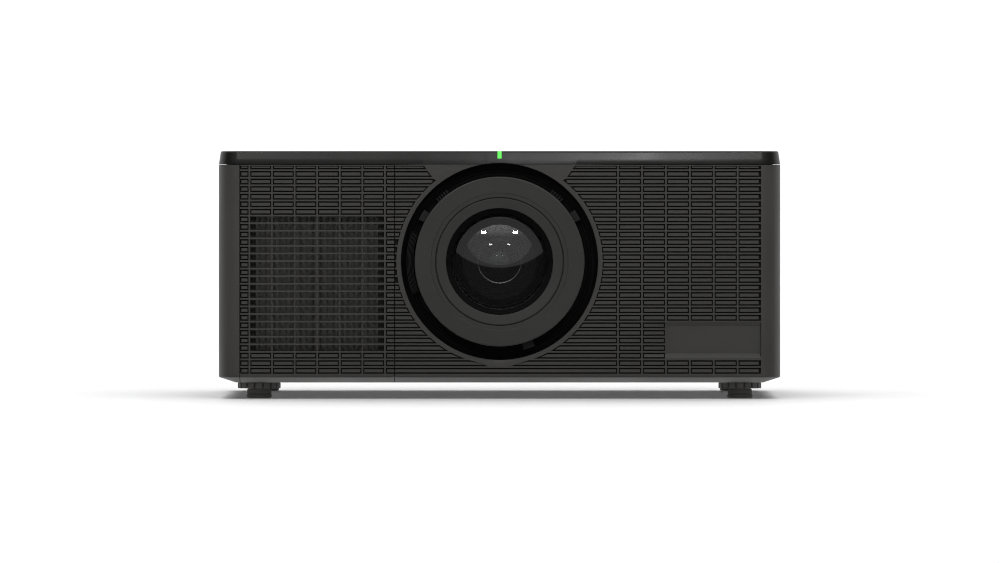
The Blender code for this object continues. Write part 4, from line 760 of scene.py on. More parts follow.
CREST_TOP, CREST_LOW, CREST_HEIGHT = 65.8, 56.0, 13.6
STUB_HALF, STUB_DROP = 9.5, 2.5
BEZEL_RIBS = 102.1 + 20.6 * np.arange(6)
CELL_END = 225.3
BADGE_X = (146.1, 224.4)
BADGE_Z = (39.2, 62.7)
BADGE_SLOPES = SimpleNamespace(left=17.0, right=1.0, up=4.0)
BADGE_DEPTH = 3.0
BADGE_EASE = 1.8          # power with which the recess starts on its left
BADGE_MARGIN = 4.6        # rows this near the recess end beside it


def seam_share(s):
    """How far the parting seam shows at s: not at all over the crest, fully beside it."""
    return np.clip((np.abs(s) - CREST_TOP + 0.5) / 1.5, 0, 1)


def badge_depth(x, z):
    """Depth of the recess beside the lens: the least of its four sides' slopes, each rising to
    the floor's depth. The left side starts gently, as a power of its share."""
    left = np.clip((x - BADGE_X[0] + BADGE_SLOPES.left) / BADGE_SLOPES.left, 0, 1) ** BADGE_EASE
    right = np.clip((BADGE_X[1] + BADGE_SLOPES.right - x) / BADGE_SLOPES.right, 0, 1)
    low = np.clip((z - BADGE_Z[0] + BADGE_SLOPES.up) / BADGE_SLOPES.up, 0, 1)
    high = np.clip((BADGE_Z[1] + BADGE_SLOPES.up - z) / BADGE_SLOPES.up, 0, 1)
    return BADGE_DEPTH * np.minimum(np.minimum(left, right), np.minimum(low, high))


class PROJECTOR_OT_front_bezel(bpy.types.Operator):
    """Build the louvred front round the lens opening, with its recess and wrapped corner"""

    bl_idname = "projector.front_bezel"
    bl_label = "Front bezel"

    def execute(self, context):
        case = in_mm(context.scene.projector_case)
        low, high = louvre_rows(case)
        badge_rows = (high > BADGE_Z[0] - BADGE_SLOPES.up) & (low < BADGE_Z[1] + BADGE_SLOPES.up)
        round_lines = LENS_Z + case.opening * np.sin(np.radians(np.arange(-90.0, 79.0, 3.0)))
        slopes = np.concatenate([
            np.linspace(BADGE_Z[0] - BADGE_SLOPES.up, BADGE_Z[0], 4),
            np.linspace(BADGE_Z[1], BADGE_Z[1] + BADGE_SLOPES.up, 4)])
        z = np.unique(np.concatenate([
            bevel_lines(case), slot_lines(low, high, case.edge), round_lines, slopes,
            [PARTING - CREST_HEIGHT, LENS_Z - case.opening - 0.5],
        ]).round(4))
        edge_near = plain_half(z, case)
        placed = np.maximum(edge_near, STUB_HALF)
        hole = np.sqrt(np.maximum(case.opening ** 2 - (z - LENS_Z) ** 2, 2.0 ** 2))
        hole_edge = np.sqrt(np.maximum((case.opening + 0.5) ** 2 - (z - LENS_Z) ** 2, 5.0 ** 2))
        around = np.stack([hole, np.maximum(hole_edge, hole + 0.1), placed, placed + case.edge,
                           placed + case.edge + HAIR], 1)
        end = side_run(BEZEL_BACK, case.corner)
        arc_start = HALF - case.corner
        beyond = np.unique(np.concatenate([
            rib_lines(BEZEL_RIBS, case), [CELL_END - case.edge - HAIR, CELL_END - case.edge, CELL_END],
            np.linspace(BADGE_X[0] - BADGE_SLOPES.left, BADGE_X[0], 9),
            [BADGE_X[1] - 0.6, BADGE_X[1], BADGE_X[1] + BADGE_SLOPES.right],
            arc_start + case.corner * np.radians(np.arange(0.0, 91.0, 7.5)), [end],
        ]).round(4))
        tall = np.ones((len(z), 1))
        grid_s = np.hstack([bezel_low[0] * tall, -around[:, ::-1], around, tall * beyond])
        grid_z = np.broadcast_to(z[:, None], grid_s.shape)
        near = edge_depth(np.abs(grid_s) - edge_near[:, None], case)
        ribs = rib_depth(grid_s, BEZEL_RIBS, case)
        beside_badge = (grid_z > BADGE_Z[0] - BADGE_MARGIN) & (grid_z < BADGE_Z[1] + BADGE_MARGIN)
        last = np.where(beside_badge, BEZEL_RIBS[2] - case.rib / 2, CELL_END)
        pattern = np.minimum(np.minimum(near, ribs), edge_depth(last - grid_s, case))
        depth = np.minimum(slot_depth(grid_z, low, high, case), pattern)
        # painted-shade mask, from the louvres' depth before the recess beside the lens is added
        recess = (depth / case.depth).ravel()
        depth = np.maximum(depth, badge_depth(grid_s, grid_z))
        radius = np.hypot(grid_s, grid_z - LENS_Z)
        rim_edge = np.interp(radius, [case.opening - 0.01, case.opening + 0.5], [0.5, 0.0])
        depth = np.where(radius < case.opening + 0.5, np.maximum(rim_edge, depth), depth)
        seam = seam_share(grid_s)
        edge = np.where(grid_z > WALL_TOP - 0.5, seam, 1.0) * outer_inset(grid_z, case)
        raised = grid_z + np.where(grid_z > WALL_TOP - 0.01, 0.28 * (1 - seam), 0.0)
        front = on_case(grid_s, raised, edge + depth, case.corner)
        thin = np.interp(grid_s, [arc_start, arc_start + case.corner * math.pi / 2],
                         [case.front_wall, case.wall])
        back = wall_back(grid_s, grid_z, thin, case)
        keep = np.ones((len(z) - 1, grid_s.shape[1] - 1), bool)
        keep[(z[:-1] + z[1:]) / 2 > LENS_Z - case.opening, around.shape[1]] = False
        sheet = slab(front, back, keep)

        edges = [*BEZEL_RIBS, CELL_END - case.rib / 2 + 0.2]
        inner = case.rib / 2 + case.gap
        spans = [(a + inner, b - inner) for a, b in zip(edges, edges[1:])]
        fillers = [cell_blocks(spans, low[~badge_rows], high[~badge_rows], case)]
        fillers.append(cell_blocks(spans[:2], low[badge_rows], high[badge_rows], case))
        fillers += self.near_blocks(low, high, case, BEZEL_RIBS[0] - inner)
        put("front_bezel_skin", [sheet], "case", MATERIALS["case_plastic"],
            ("front_bezel",), [recess, np.full_like(recess, INNER_PAINTED_SHADE)])
        put("front_bezel_fillers", fillers, "case", MATERIALS["filler_plastic"],
            recess=filler_painted_shade(fillers))
        return {"FINISHED"}

    def near_blocks(self, low, high, case, right):
        """The blocks beside the lens opening, whose near ends follow the plain area's edge: the
        end keeps its gap measured square to the edge's slant."""
        top = np.where(high - low < case.slot - 0.1, CUT_ROW_GAP, case.gap + 0.1)
        z0, z1 = low + case.gap + 0.1, high - top
        x0, x1 = plain_half(z0, case), plain_half(z1, case)
        lean = (x1 - x0) / (z1 - z0)
        gap = case.gap * np.sqrt(1 + np.clip(lean, -3, 3) ** 2)
        x0, x1 = x0 + gap, x1 + gap
        across = (x0 < 1.5 * case.gap + 0.1)
        made = []
        some = ~across
        z = np.stack([z0, z0, z1, z1], 1)[some]
        far = np.full(some.sum(), right)
        made.append(filler_blocks(np.stack([x0[some], far, far, x1[some]], 1), z, case))
        start = np.full(some.sum(), bezel_low[0] + 0.05)
        made.append(filler_blocks(np.stack([start, -x0[some], -x1[some], start], 1), z, case))
        made.append(cell_blocks([(bezel_low[0] + 0.05, right)], low[across], high[across], case))
        return made


BEZEL_BACK = bezel_low[1] + 30.0
SIDE_SLOT = 5.0
SIDE_SLOTS = {"left": ((37.0, 177.0), 60.0 + 13.04 * np.arange(6)),
              "right": ((-120.0, 40.0), 40.0 + 13.04 * np.arange(8))}


def side_sheet(side, s_from, s_to, case):
    """A side of the case: the wall's section along the outline, with its vent slots cut
    through and their edges dished by a short slope."""
    (y0, y1), lows = SIDE_SLOTS[side]
    sign = -1.0 if side == "left" else 1.0
    vent = sorted(sign * side_run(y, case.corner) for y in (y0, y1))
    lip = 0.5
    arc = np.radians(np.arange(0.0, 91.0, 7.5)) * case.corner
    first = HALF - case.corner
    second = first + case.corner * math.pi / 2 + REAR - FRONT - 2 * case.corner
    turns = sign * np.concatenate([first + arc, second + arc])
    s = np.concatenate([turns, [s_from, s_to], vent, [vent[0] - lip, vent[1] + lip]])
    s = np.unique(s[(s >= s_from) & (s <= s_to)].round(4))
    highs = lows + SIDE_SLOT
    z = np.unique(np.concatenate([bevel_lines(case), lows, highs, lows - lip, highs + lip]).round(4))
    grid_s, grid_z = np.meshgrid(s, z)
    out_s = np.maximum(np.maximum(vent[0] - grid_s, grid_s - vent[1]), 0)
    out_z = np.maximum(np.maximum(lows - grid_z[..., None], grid_z[..., None] - highs), 0).min(-1)
    dish = lip * np.clip(1 - np.maximum(out_s, out_z) / lip, 0, 1)
    front = on_case(grid_s, grid_z, outer_inset(grid_z, case) + dish, case.corner)
    back = wall_back(grid_s, grid_z, case.wall, case)
    mid_s, mid_z = (s[:-1] + s[1:]) / 2, (z[:-1] + z[1:]) / 2
    open_s = (mid_s > vent[0]) & (mid_s < vent[1])
    open_z = ((mid_z[:, None] > lows) & (mid_z[:, None] < highs)).any(-1)
    return slab(front, back, ~(open_z[:, None] & open_s[None, :]))


class PROJECTOR_OT_side_panels(bpy.types.Operator):
    """Build the two side panels with their vents"""

    bl_idname = "projector.side_panels"
    bl_label = "Side panels"

    def execute(self, context):
        case = in_mm(context.scene.projector_case)
        start = HALF - case.corner
        end = start + case.corner * math.pi + REAR - FRONT - 2 * case.corner
        sheets = {
            "left": (-end, -start),
            "right": (side_run(right_low[1], case.corner), end),
        }
        for side, (s_from, s_to) in sheets.items():
            put(f"{side}_side_skin", [side_sheet(side, s_from, s_to, case)], "case",
                MATERIALS["case_plastic"], (f"{side}_side_panel",))
        return {"FINISHED"}


SKIRT = 2.6               # reach of the cover's tongue behind the wall
GUIDE_PROUD = 0.12        # how far the light guide stands out of the cover


class PROJECTOR_OT_top_cover(bpy.types.Operator):
    """Build the drafted top cover and its light guide"""

    bl_idname = "projector.top_cover"
    bl_label = "Top cover and light"

    def execute(self, context):
        case = in_mm(context.scene.projector_case)
        total = TOP - PARTING
        soft = 1.6
        turn = np.radians(np.linspace(0.0, 90.0, 6))
        inside = case.front_wall + 0.4
        section = [(inside + 1.5, TOP - case.wall), (inside + 1.5, PARTING - SKIRT),
                   (inside, PARTING - SKIRT), (inside, PARTING), (0.45, PARTING),
                   (0.1, PARTING + 0.12), (0.0, PARTING + 0.45)]
        slope = case.draft / total
        section += [((total - soft) * slope * t, PARTING + 0.45 + (total - soft - 0.45) * t)
                    for t in (0.5, 1.0)]
        start = (total - soft) * slope
        section += [(start + soft * (1 - math.cos(a)), TOP - soft + soft * math.sin(a))
                    for a in turn[1:]]
        inset, height = np.array(section).T
        front, arc = HALF - case.corner, case.corner * math.pi / 2
        depth = REAR - FRONT - 2 * case.corner
        bends = np.linspace(0.0, arc, 13)
        half = np.concatenate([np.linspace(0, 16, 17), [CREST_TOP - 0.5, CREST_TOP + 1.0],
                               front + bends, front + arc + depth + bends])
        s = np.concatenate([-half[:0:-1], half])
        reach = np.where(np.abs(s) < case.opening, case.opening ** 2 - s ** 2, 0.0)
        opening = LENS_Z + np.sqrt(reach)
        share = np.clip((TOP - height) / total, 0, 1)[:, None]
        z = height[:, None] + np.maximum(opening - PARTING, 0.0) * share
        skirt = np.maximum(height[:, None], opening + 0.3)
        z = np.where(height[:, None] < PARTING, skirt, z)
        foot = (height < PARTING + 0.2) & (inset < 1.0)
        seam = np.where(foot[:, None], seam_share(s), 1.0)
        points = on_case(s[None, :], z, inset[:, None] * seam, case.corner)
        put("top_cover_skin", [outward(skin(points, wrap_cols=True, caps=True))], "case",
            MATERIALS["cover_plastic"], ("top_cover",))

        outer = [(i - GUIDE_PROUD, z) for i, z in section if z >= light_low[2]]
        lowest = light_low[2]
        outer.insert(0, (slope * (lowest - PARTING) - GUIDE_PROUD, lowest))
        last = max(i for i, _ in outer) + 1.5
        outline_y = [(FRONT + i, min(z, TOP)) for i, z in outer]
        outline_y += [(FRONT + last, TOP), (FRONT + last, lowest)]
        half_width = light_high[0]
        guide = prism(outline_y, -half_width, half_width, "X", 0.0)
        put("status_light_guide", [guide], "case", MATERIALS["status_lens"],
            ("status_light",))
        return {"FINISHED"}


# Lens

def lens_turned(profile, **options):
    """A profile of (y, radius) pairs carried round the lens axis."""
    return turned(profile, (0.0, 0.0, LENS_Z), "Y", **options)


RING_LUGS = ((149.0, 9.0, 5.6), (31.0, 9.0, 5.6), (-71.0, 9.5, 6.0))    # angle, width, reach
RING_TEETH = (131.0, 49.0)                                             # middle of each set, degrees


class PROJECTOR_OT_lens_ring(bpy.types.Operator):
    """Build the lens's front ring: flange, shallow step, groove and inner face, with its lugs"""

    bl_idname = "projector.lens_ring"
    bl_label = "Lens ring"

    def execute(self, context):
        lens = in_mm(context.scene.projector_lens)
        front, rear = ring_low[1], ring_high[1]
        flange_in = RING_R - lens.flange
        face_out = flange_in - lens.step
        face_in = retainer_high[0] + 0.3
        barrel = barrel_high[0] - 6.0 + 0.3
        profile = [
            (front + 0.25, flange_in), (front, flange_in + 0.35), (front, flange_in + 0.6),
            (front, RING_R - 1.2), (front, RING_R - 0.9), (front + 0.25, RING_R - 0.3),
            (front + 0.9, RING_R), (rear, RING_R),
            (rear, barrel), (rear - 6.7, barrel), (rear - 6.7, face_in), (front + 2.4, face_in),
            (front + 2.0, face_in + 0.5), (front + 1.98, face_in + 0.8), (front + 1.42, face_out - 0.9),
            (front + 1.4, face_out - 0.6), (front + 1.55, face_out - 0.25),
            (front + 3.2, face_out - 0.15), (front + 3.2, face_out + 0.75), (front + 0.85, face_out + 0.85),
            (front + 0.6, face_out + 1.1), (front + 0.55, flange_in - 0.05),
        ]
        put("lens_ring_skin", [lens_turned(profile, steps=192)], "lens",
            MATERIALS["lens_ring"], ("lens_front_ring",))
        lugs = []
        for angle, width, reach in RING_LUGS:
            half = math.degrees(width / 2 / RING_R)
            section = rounded([(rear - 7.2, RING_R - 3.0), (rear - 7.2, RING_R + reach),
                               (rear - 2.0, RING_R + reach), (rear - 2.0, RING_R - 3.0)], 0.6)
            lugs.append(lens_turned(section, steps=10, arc=(angle - half, angle + half)))
        for middle in RING_TEETH:
            for k in range(5):
                a = middle - 4.0 + 2.0 * k
                section = [(rear - 5.0, RING_R - 1.0), (rear - 5.0, RING_R + 3.6),
                           (rear - 1.0, RING_R + 3.6), (rear - 1.0, RING_R - 1.0)]
                lugs.append(lens_turned(section, steps=3, arc=(a - 0.55, a + 0.55)))
        put("lens_lugs", lugs, "lens", MATERIALS["black_plastic"])
        return {"FINISHED"}


TREADS, TREAD_RISE = 5, 1.15            # steps of the retainer's stepped bore, and their depth
TREAD_START = 1.5                       # how far the stairs start ahead of the CAD's retainer
BRIGHT_EDGES = ((2, 0.5), (3, 0.7), (4, 0.35))                         # tread, width
BARREL_BORE = 38.0
PUPIL_DEPTH = 34.0                      # from the front glass back to the dark opening
TIERS = 9                               # baffle steps between the glass and the dark opening
INNER_BEND = 30.0                       # radius of the inner glass's surface


class PROJECTOR_OT_lens_glass(bpy.types.Operator):
    """Build the front glass, its stepped retainer and the dark optics behind it"""

    bl_idname = "projector.lens_glass"
    bl_label = "Lens glass"

    def execute(self, context):
        lens = in_mm(context.scene.projector_lens)
        outer_r = retainer_high[0]
        front, rear = retainer_low[1], retainer_high[1]
        glass_r = glass_high[0] - 3.0
        top = front - TREAD_START
        tread = (outer_r - glass_r - 0.3) / TREADS
        stairs = [(rear, outer_r), (top, outer_r)]
        for k in range(TREADS):
            r = outer_r - tread * k
            y = top + TREAD_RISE * k
            stairs += [(y, r - 0.1), (y, r - tread + 0.22), (y + 0.2, r - tread)]
        stairs.append((rear, outer_r - tread * TREADS))
        put("glass_retainer_skin", [lens_turned(stairs, steps=160)], "lens",
            MATERIALS["baffle_black"], ("glass_retainer",))
        gleams = []
        for k, width in BRIGHT_EDGES:
            r = outer_r - tread * (k + 1) + 0.1
            y = top + TREAD_RISE * (k + 1)
            section = [(y - 0.5, r + width), (y - 0.1, r), (y, r), (y, r + width)]
            gleams.append(lens_turned(section, steps=160))
        put("retainer_edges", gleams, "lens", MATERIALS["bright_edge"])

        apex = glass_low[1]
        angle = np.linspace(0.0, math.asin(glass_r / lens.dome), 24)
        dome = np.stack([apex + lens.dome * (1 - np.cos(angle)), lens.dome * np.sin(angle)], 1)
        edge = dome[-1, 0]
        hollow = lens.dome * 0.72
        sag = np.linspace(math.asin((glass_r - 1.0) / hollow), 0.0, 20)
        back_y = glass_high[1] - 0.2
        back = np.stack([back_y - hollow * (np.cos(sag) - math.cos(sag[0])), hollow * np.sin(sag)], 1)
        flange = [(edge + 0.6, glass_r), (back_y, glass_r)]
        profile = np.concatenate([dome, flange, back])
        put("front_glass_skin", [lens_turned(profile, steps=144, closed=False)], "lens",
            MATERIALS["glass"], ("front_glass",))

        start, pupil = glass_high[1] + 0.4, lens.pupil
        outer = BARREL_BORE - 0.4
        deep = start + PUPIL_DEPTH
        cone = [(start, outer)]
        for k in range(TIERS):
            share = (k + 1) / TIERS
            r = outer + (pupil - outer) * share
            y = start + (deep - start) * share
            cone += [(y - 0.9, cone[-1][1] - 0.25), (y, r)]
        cone += [(deep + 1.5, pupil), (deep + 1.5, outer), (start, outer + 0.05)]
        put("lens_baffle", [lens_turned(cone, steps=128)], "lens",
            MATERIALS["baffle_black"])
        a = np.linspace(0.0, math.asin((pupil - 0.4) / INNER_BEND), 14)
        inner = np.stack([deep - 6.0 + INNER_BEND * (1 - np.cos(a)), INNER_BEND * np.sin(a)], 1)
        y = inner[-1, 0] + 2.0
        inner = np.concatenate([inner, [(y, pupil - 0.4), (y, 0.0)]])
        put("inner_glass", [lens_turned(inner, steps=96, closed=False)], "lens",
            MATERIALS["lens_coating"])
        band = [(deep - 1.6, pupil + 1.1), (deep - 1.15, pupil + 0.1), (deep - 0.2, pupil + 0.1),
                (deep - 0.2, pupil + 1.1)]
        put("pupil_ring", [lens_turned(band, steps=96)], "lens",
            MATERIALS["bright_edge"])
        return {"FINISHED"}


CURTAIN_R = (61.0, 82.5)
FOLD_RADII = (66.0, 72.0, 78.0)
SHROUD_R = (76.0, 87.0)
STRIP_RIBS, STRIP_FIRST, STRIP_PITCH = 6, 74.6, 1.05


def washer(front, rear, radii):
    """Profile of a flat ring between two depths and two radii."""
    return [(front, radii[0]), (front, radii[1]), (rear, radii[1]), (rear, radii[0])]


class PROJECTOR_OT_lens_well(bpy.types.Operator):
    """Build what is seen in the gap round the lens: a dark curtain that shifts with the lens, a
    fixed shroud behind it and a ribbed strip"""

    bl_idname = "projector.lens_well"
    bl_label = "Lens well"

    def execute(self, context):
        rear = ring_high[1]
        parts = [lens_turned(washer(rear + 2.0, rear + 3.2, CURTAIN_R), steps=96)]
        for r in FOLD_RADII:
            fold = rounded([(rear + 0.9, r - 1.0), (rear + 0.9, r + 1.0), (rear + 2.4, r + 1.6),
                            (rear + 2.4, r - 1.6)], 0.5)
            parts.append(lens_turned(fold, steps=96))
        put("lens_curtain", parts, "lens", MATERIALS["baffle_black"])
        shroud = washer(rear + 3.45, rear + 3.95, SHROUD_R)
        put("lens_shroud", [lens_turned(shroud, steps=96)], "case",
            MATERIALS["baffle_black"])
        ribs = []
        for k in range(STRIP_RIBS):
            r = STRIP_FIRST + STRIP_PITCH * k
            section = washer(rear - 4.6, rear - 2.2, (r - 0.22, r + 0.22))
            ribs.append(lens_turned(section, steps=24, arc=(162.0, 200.0)))
        plate = washer(rear - 2.6, rear - 1.4, (73.9, 80.6))
        put("lens_gap_plate", [lens_turned(plate, steps=24, arc=(160.5, 201.5))], "lens",
            MATERIALS["baffle_black"])
        put("lens_gap_ribs", ribs, "lens", MATERIALS["black_plastic"])
        return {"FINISHED"}


# Feet

NOTCHES, NOTCH_DEPTH = 16, 2.2


class PROJECTOR_OT_feet(bpy.types.Operator):
    """Build the four feet: notched wheels on their studs, and rubber pads"""

    bl_idname = "projector.feet"
    bl_label = "Feet"

    def execute(self, context):
        for foot in FEET:
            low, high = box_mm(f"foot_screw_{foot}")
            pad_low, pad_high = box_mm(f"foot_pad_{foot}")
            x, y = (pad_low[:2] + pad_high[:2]) / 2
            radius = (high[0] - low[0]) / 2
            wheel_top = LOW - 0.3
            angle = np.linspace(0, 2 * math.pi, 336, endpoint=False)
            wave = np.clip((np.cos(NOTCHES * angle) + 0.86) / 0.18, 0, 1)
            levels = [(0.0, -1.6), (0.0, -0.6), (0.5, 0.0), (wheel_top - low[2] - 0.5, 0.0),
                      (wheel_top - low[2], -0.6)]
            rings = []
            for up, grow in levels:
                r = radius + grow - NOTCH_DEPTH * (1 - wave)
                rings.append(np.stack([x + r * np.cos(angle), y + r * np.sin(angle),
                                       np.full_like(angle, low[2] + up)], -1))
            wheel = outward(skin(np.array(rings), wrap_cols=True, caps=True))
            stud = turned([(wheel_top - 0.1, 0.0), (wheel_top - 0.1, 4.0), (high[2] - 0.6, 4.0),
                           (high[2], 3.4), (high[2], 0.0)], (x, y, 0.0), "Z", 32, closed=False)
            put(f"foot_wheel_{foot}", [wheel, stud], f"foot_screw_{foot}",
                MATERIALS["foot_plastic"], (f"foot_screw_{foot}",))
            r, top = pad_high[0] - x, pad_high[2]
            profile = [(0.0, 0.0), (0.0, r - 2.0), (0.25, r - 0.9), (0.9, r - 0.2), (1.8, r),
                       (3.4, r - 0.25), (3.7, r - 0.9), (4.1, r - 0.9), (4.4, r - 0.35),
                       (top - 0.6, r - 0.7), (top, r - 1.3), (top, 0.0)]
            put(f"foot_pad_skin_{foot}", [turned(profile, (x, y, 0.0), "Z", 72, closed=False)],
                f"foot_pad_{foot}", MATERIALS["rubber"], (f"foot_pad_{foot}",))
        return {"FINISHED"}


# Rear

PORT_SIZES = ((15.0, 6.0), (15.0, 6.0), (16.0, 13.0), (18.0, 9.0), (18.0, 9.0), (14.0, 7.0))
JACK_RISE = 17.0
INLET_SCREWS, PANEL_SCREWS = 20.5, (214.0, (30.0, 188.0))
EXHAUST_PLACE, EXHAUST_REACH = (150.0, 140.0), (66.0, 60.0)
KEY_R = 5.0


def ring_of(x, z, y, outer, inner, deep, steps=40):
    """A round collar facing the rear."""
    section = rounded([(y - deep, inner), (y - deep, outer), (y, outer), (y, inner)], 0.25)
    return turned(section, (x, 0.0, z), "Y", steps)


def screw_head(x, z, y, radius):
    """A low domed screw head facing the rear, with a six-sided socket cut as a dished centre."""
    profile = [(y - 1.0, 0.0), (y - 1.0, radius), (y + 0.1, radius), (y + 0.45, radius - 0.5),
               (y + 0.55, radius * 0.55), (y - 0.3, radius * 0.5), (y - 0.3, 0.0)]
    return turned(profile, (x, 0.0, z), "Y", 28, closed=False)


class PROJECTOR_OT_rear_fittings(bpy.types.Operator):
    """Build the socket shells, screws and key caps of the rear"""

    bl_idname = "projector.rear_fittings"
    bl_label = "Rear fittings"

    def execute(self, context):
        face = ports_high[1]
        left, right = ports_low[0] + 5.0, ports_high[0] - 5.0
        middle = (ports_low[2] + ports_high[2]) / 2
        pitch = (right - left) / len(PORT_SIZES)
        shells, pins, jacks, gold = [], [], [], []
        for i, (wide, tall) in enumerate(PORT_SIZES):
            x = left + pitch * (i + 0.5)
            w, h = wide / 2, tall / 2
            outer = [(x - w, middle - h), (x + w, middle - h), (x + w, middle + h), (x - w, middle + h)]
            ring = np.array(outer)
            centre = np.array([x, middle])
            grow = np.array([(ring - centre) * (1 - g / np.array([w, h])) + centre for g in (0.15, 0.75)])
            path = np.stack([
                np.insert(grow[0], 1, face - 6.5, 1), np.insert(grow[0], 1, face + 0.6, 1),
                np.insert(grow[1], 1, face + 0.6, 1), np.insert(grow[1], 1, face - 6.5, 1)])
            shells.append(outward(skin(path, wrap_rows=True, wrap_cols=True)))
            pins.append(block((x - w * 0.62, face - 6.6, middle - h * 0.22),
                              (x + w * 0.62, face - 1.2, middle + h * 0.22), 0.2))
            jack_z = middle + (JACK_RISE if i % 2 else -JACK_RISE)
            jacks.append(ring_of(x, jack_z, REAR - 0.3, 5.0, 3.1, 4.0))
            gold.append(ring_of(x, jack_z, REAR - 1.2, 2.9, 1.9, 3.0, 28))
        put("socket_shells", shells, "case", MATERIALS["aluminium"])
        put("socket_tongues", pins, "case", MATERIALS["black_plastic"])
        put("round_jacks", jacks, "case", MATERIALS["black_plastic"])
        put("jack_contacts", gold, "case", MATERIALS["contact_gold"])

        inlet_low, inlet_high = box_mm("power_inlet")
        inlet = (inlet_low + inlet_high) / 2
        heads = []
        for side in (-1, 1):
            heads.append(screw_head(inlet[0] + side * INLET_SCREWS, inlet[2], REAR - 0.6, 2.4))
            for z in PANEL_SCREWS[1]:
                heads.append(screw_head(side * PANEL_SCREWS[0], z, REAR - 0.6, 2.6))
        for across in (-1, 1):
            for up in (-1, 1):
                x = EXHAUST_PLACE[0] + across * EXHAUST_REACH[0]
                z = EXHAUST_PLACE[1] + up * EXHAUST_REACH[1]
                heads.append(screw_head(x, z, REAR - 0.6, 2.2))
        put("rear_screws", heads, "case", MATERIALS["steel"])
        for key in KEYS:
            low, high = box_mm(key)
            x, z = (low[0] + high[0]) / 2, (low[2] + high[2]) / 2
            out, base = high[1], low[1]
            cap = KEY_R
            profile = [(base, 0.0), (base, cap + 1.5), (base + 2.5, cap + 1.5), (base + 2.5, cap),
                       (out - 0.7, cap), (out - 0.2, cap - 0.3), (out, cap - 0.9), (out - 0.15, cap - 1.6),
                       (out - 0.5, 2.0), (out - 0.6, 0.0)]
            put(f"{key}_cap", [turned(profile, (x, 0.0, z), "Y", 48, closed=False)], key,
                MATERIALS["filler_plastic"], (key,))
        return {"FINISHED"}


# Stage

WHITE_LEVEL = 1.05        # what the camera sees
FRONT_LEVEL = 0.42        # soft light in front, and behind for matt surfaces
MIRROR_FRONT, MIRROR_BACK = 0.28, 1.02    # what glossy surfaces mirror in front and behind
OVERHEAD_LEVEL = 1.1
DARK_LEVEL = 0.15         # share of light left below the curved edge in front
EDGE_BOW = 0.40           # how far that edge rises to the sides


def ramp(tree, place, spans, **values):
    """A map range node over spans: from low, from high, to low and to high."""
    node = add_node(tree, "ShaderNodeMapRange", place, **values)
    for name, value in zip(("From Min", "From Max", "To Min", "To Max"), spans):
        node.inputs[name].default_value = value
    return node


def operate(tree, operation, place, first, second, third=None):
    """A math node on up to three sources, each a socket or a number."""
    node = add_node(tree, "ShaderNodeMath", place, operation=operation)
    for socket, source in zip(node.inputs, (first, second, third)):
        if isinstance(source, bpy.types.NodeSocket):
            tree.links.new(source, socket)
        elif source is not None:
            socket.default_value = source
    return node.outputs[0]


def world_light(scene):
    """The studio: white to the camera; to everything else a soft surround that is brightest
    overhead and, in mirrors, behind the object. In front it is dark below a curved edge, where
    z / y + EDGE_BOW * (x / y) ** 2 passes a tenth."""
    world = bpy.data.worlds.new("studio")
    scene.world = world
    world.use_nodes = True
    tree = world.node_tree
    tree.nodes.clear()
    link = tree.links.new
    path = add_node(tree, "ShaderNodeLightPath", (450, 250))
    place = add_node(tree, "ShaderNodeTexCoord", (-900, 0))
    axes = add_node(tree, "ShaderNodeSeparateXYZ", (-700, 0))
    link(place.outputs["Generated"], axes.inputs[0])
    x, y, z = axes.outputs
    mirror = path.outputs["Is Glossy Ray"]

    behind = ramp(tree, (-450, 150), (-0.25, 0.55), interpolation_type="SMOOTHSTEP")
    link(y, behind.inputs["Value"])
    link(operate(tree, "MULTIPLY_ADD", (-650, 480), mirror, MIRROR_FRONT - FRONT_LEVEL, FRONT_LEVEL),
         behind.inputs["To Min"])
    link(operate(tree, "MULTIPLY_ADD", (-650, 320), mirror, MIRROR_BACK - FRONT_LEVEL, FRONT_LEVEL),
         behind.inputs["To Max"])

    across = operate(tree, "DIVIDE", (-650, -300), x, y)
    square = operate(tree, "MULTIPLY", (-500, -300), across, across)
    rise = operate(tree, "DIVIDE", (-650, -120), z, y)
    edge = ramp(tree, (-200, -120), (0.09, 0.11, 1.0, DARK_LEVEL))
    link(operate(tree, "MULTIPLY_ADD", (-350, -120), square, EDGE_BOW, rise), edge.inputs["Value"])
    back_half = ramp(tree, (-200, -380), (-0.1, 0.1, 0.0, 1.0))
    link(y, back_half.inputs["Value"])
    lit = operate(tree, "MAXIMUM", (0, -200), edge.outputs[0], back_half.outputs[0])
    level = operate(tree, "MULTIPLY", (200, 0), behind.outputs[0], lit)

    overhead = ramp(tree, (-200, 380), (0.5, 0.85, 0.0, OVERHEAD_LEVEL), interpolation_type="SMOOTHSTEP")
    link(z, overhead.inputs["Value"])
    total = operate(tree, "MAXIMUM", (350, 0), level, overhead.outputs[0])

    soft = add_node(tree, "ShaderNodeBackground", (450, -250))
    link(total, soft.inputs["Strength"])
    white = add_node(tree, "ShaderNodeBackground", (450, -50))
    white.inputs["Color"].default_value = (1.0, 1.0, 1.0, 1.0)
    white.inputs["Strength"].default_value = WHITE_LEVEL
    pick = add_node(tree, "ShaderNodeMixShader", (700, 0))
    out = add_node(tree, "ShaderNodeOutputWorld", (900, 0))
    link(path.outputs["Is Camera Ray"], pick.inputs[0])
    link(soft.outputs[0], pick.inputs[1])
    link(white.outputs[0], pick.inputs[2])
    link(pick.outputs[0], out.inputs["Surface"])


def area_light(scene, name, place, aim, size, power):
    """A rectangular light at a place, turned to face a point."""
    data = bpy.data.lights.new(name, "AREA")
    data.shape = "RECTANGLE"
    data.size, data.size_y = size
    data.energy = power
    light = bpy.data.objects.new(name, data)
    light.location = place
    light.rotation_euler = (Vector(aim) - Vector(place)).to_track_quat("-Z", "Y").to_euler()
    light.visible_camera = False
    scene.collection.objects.link(light)
    return light


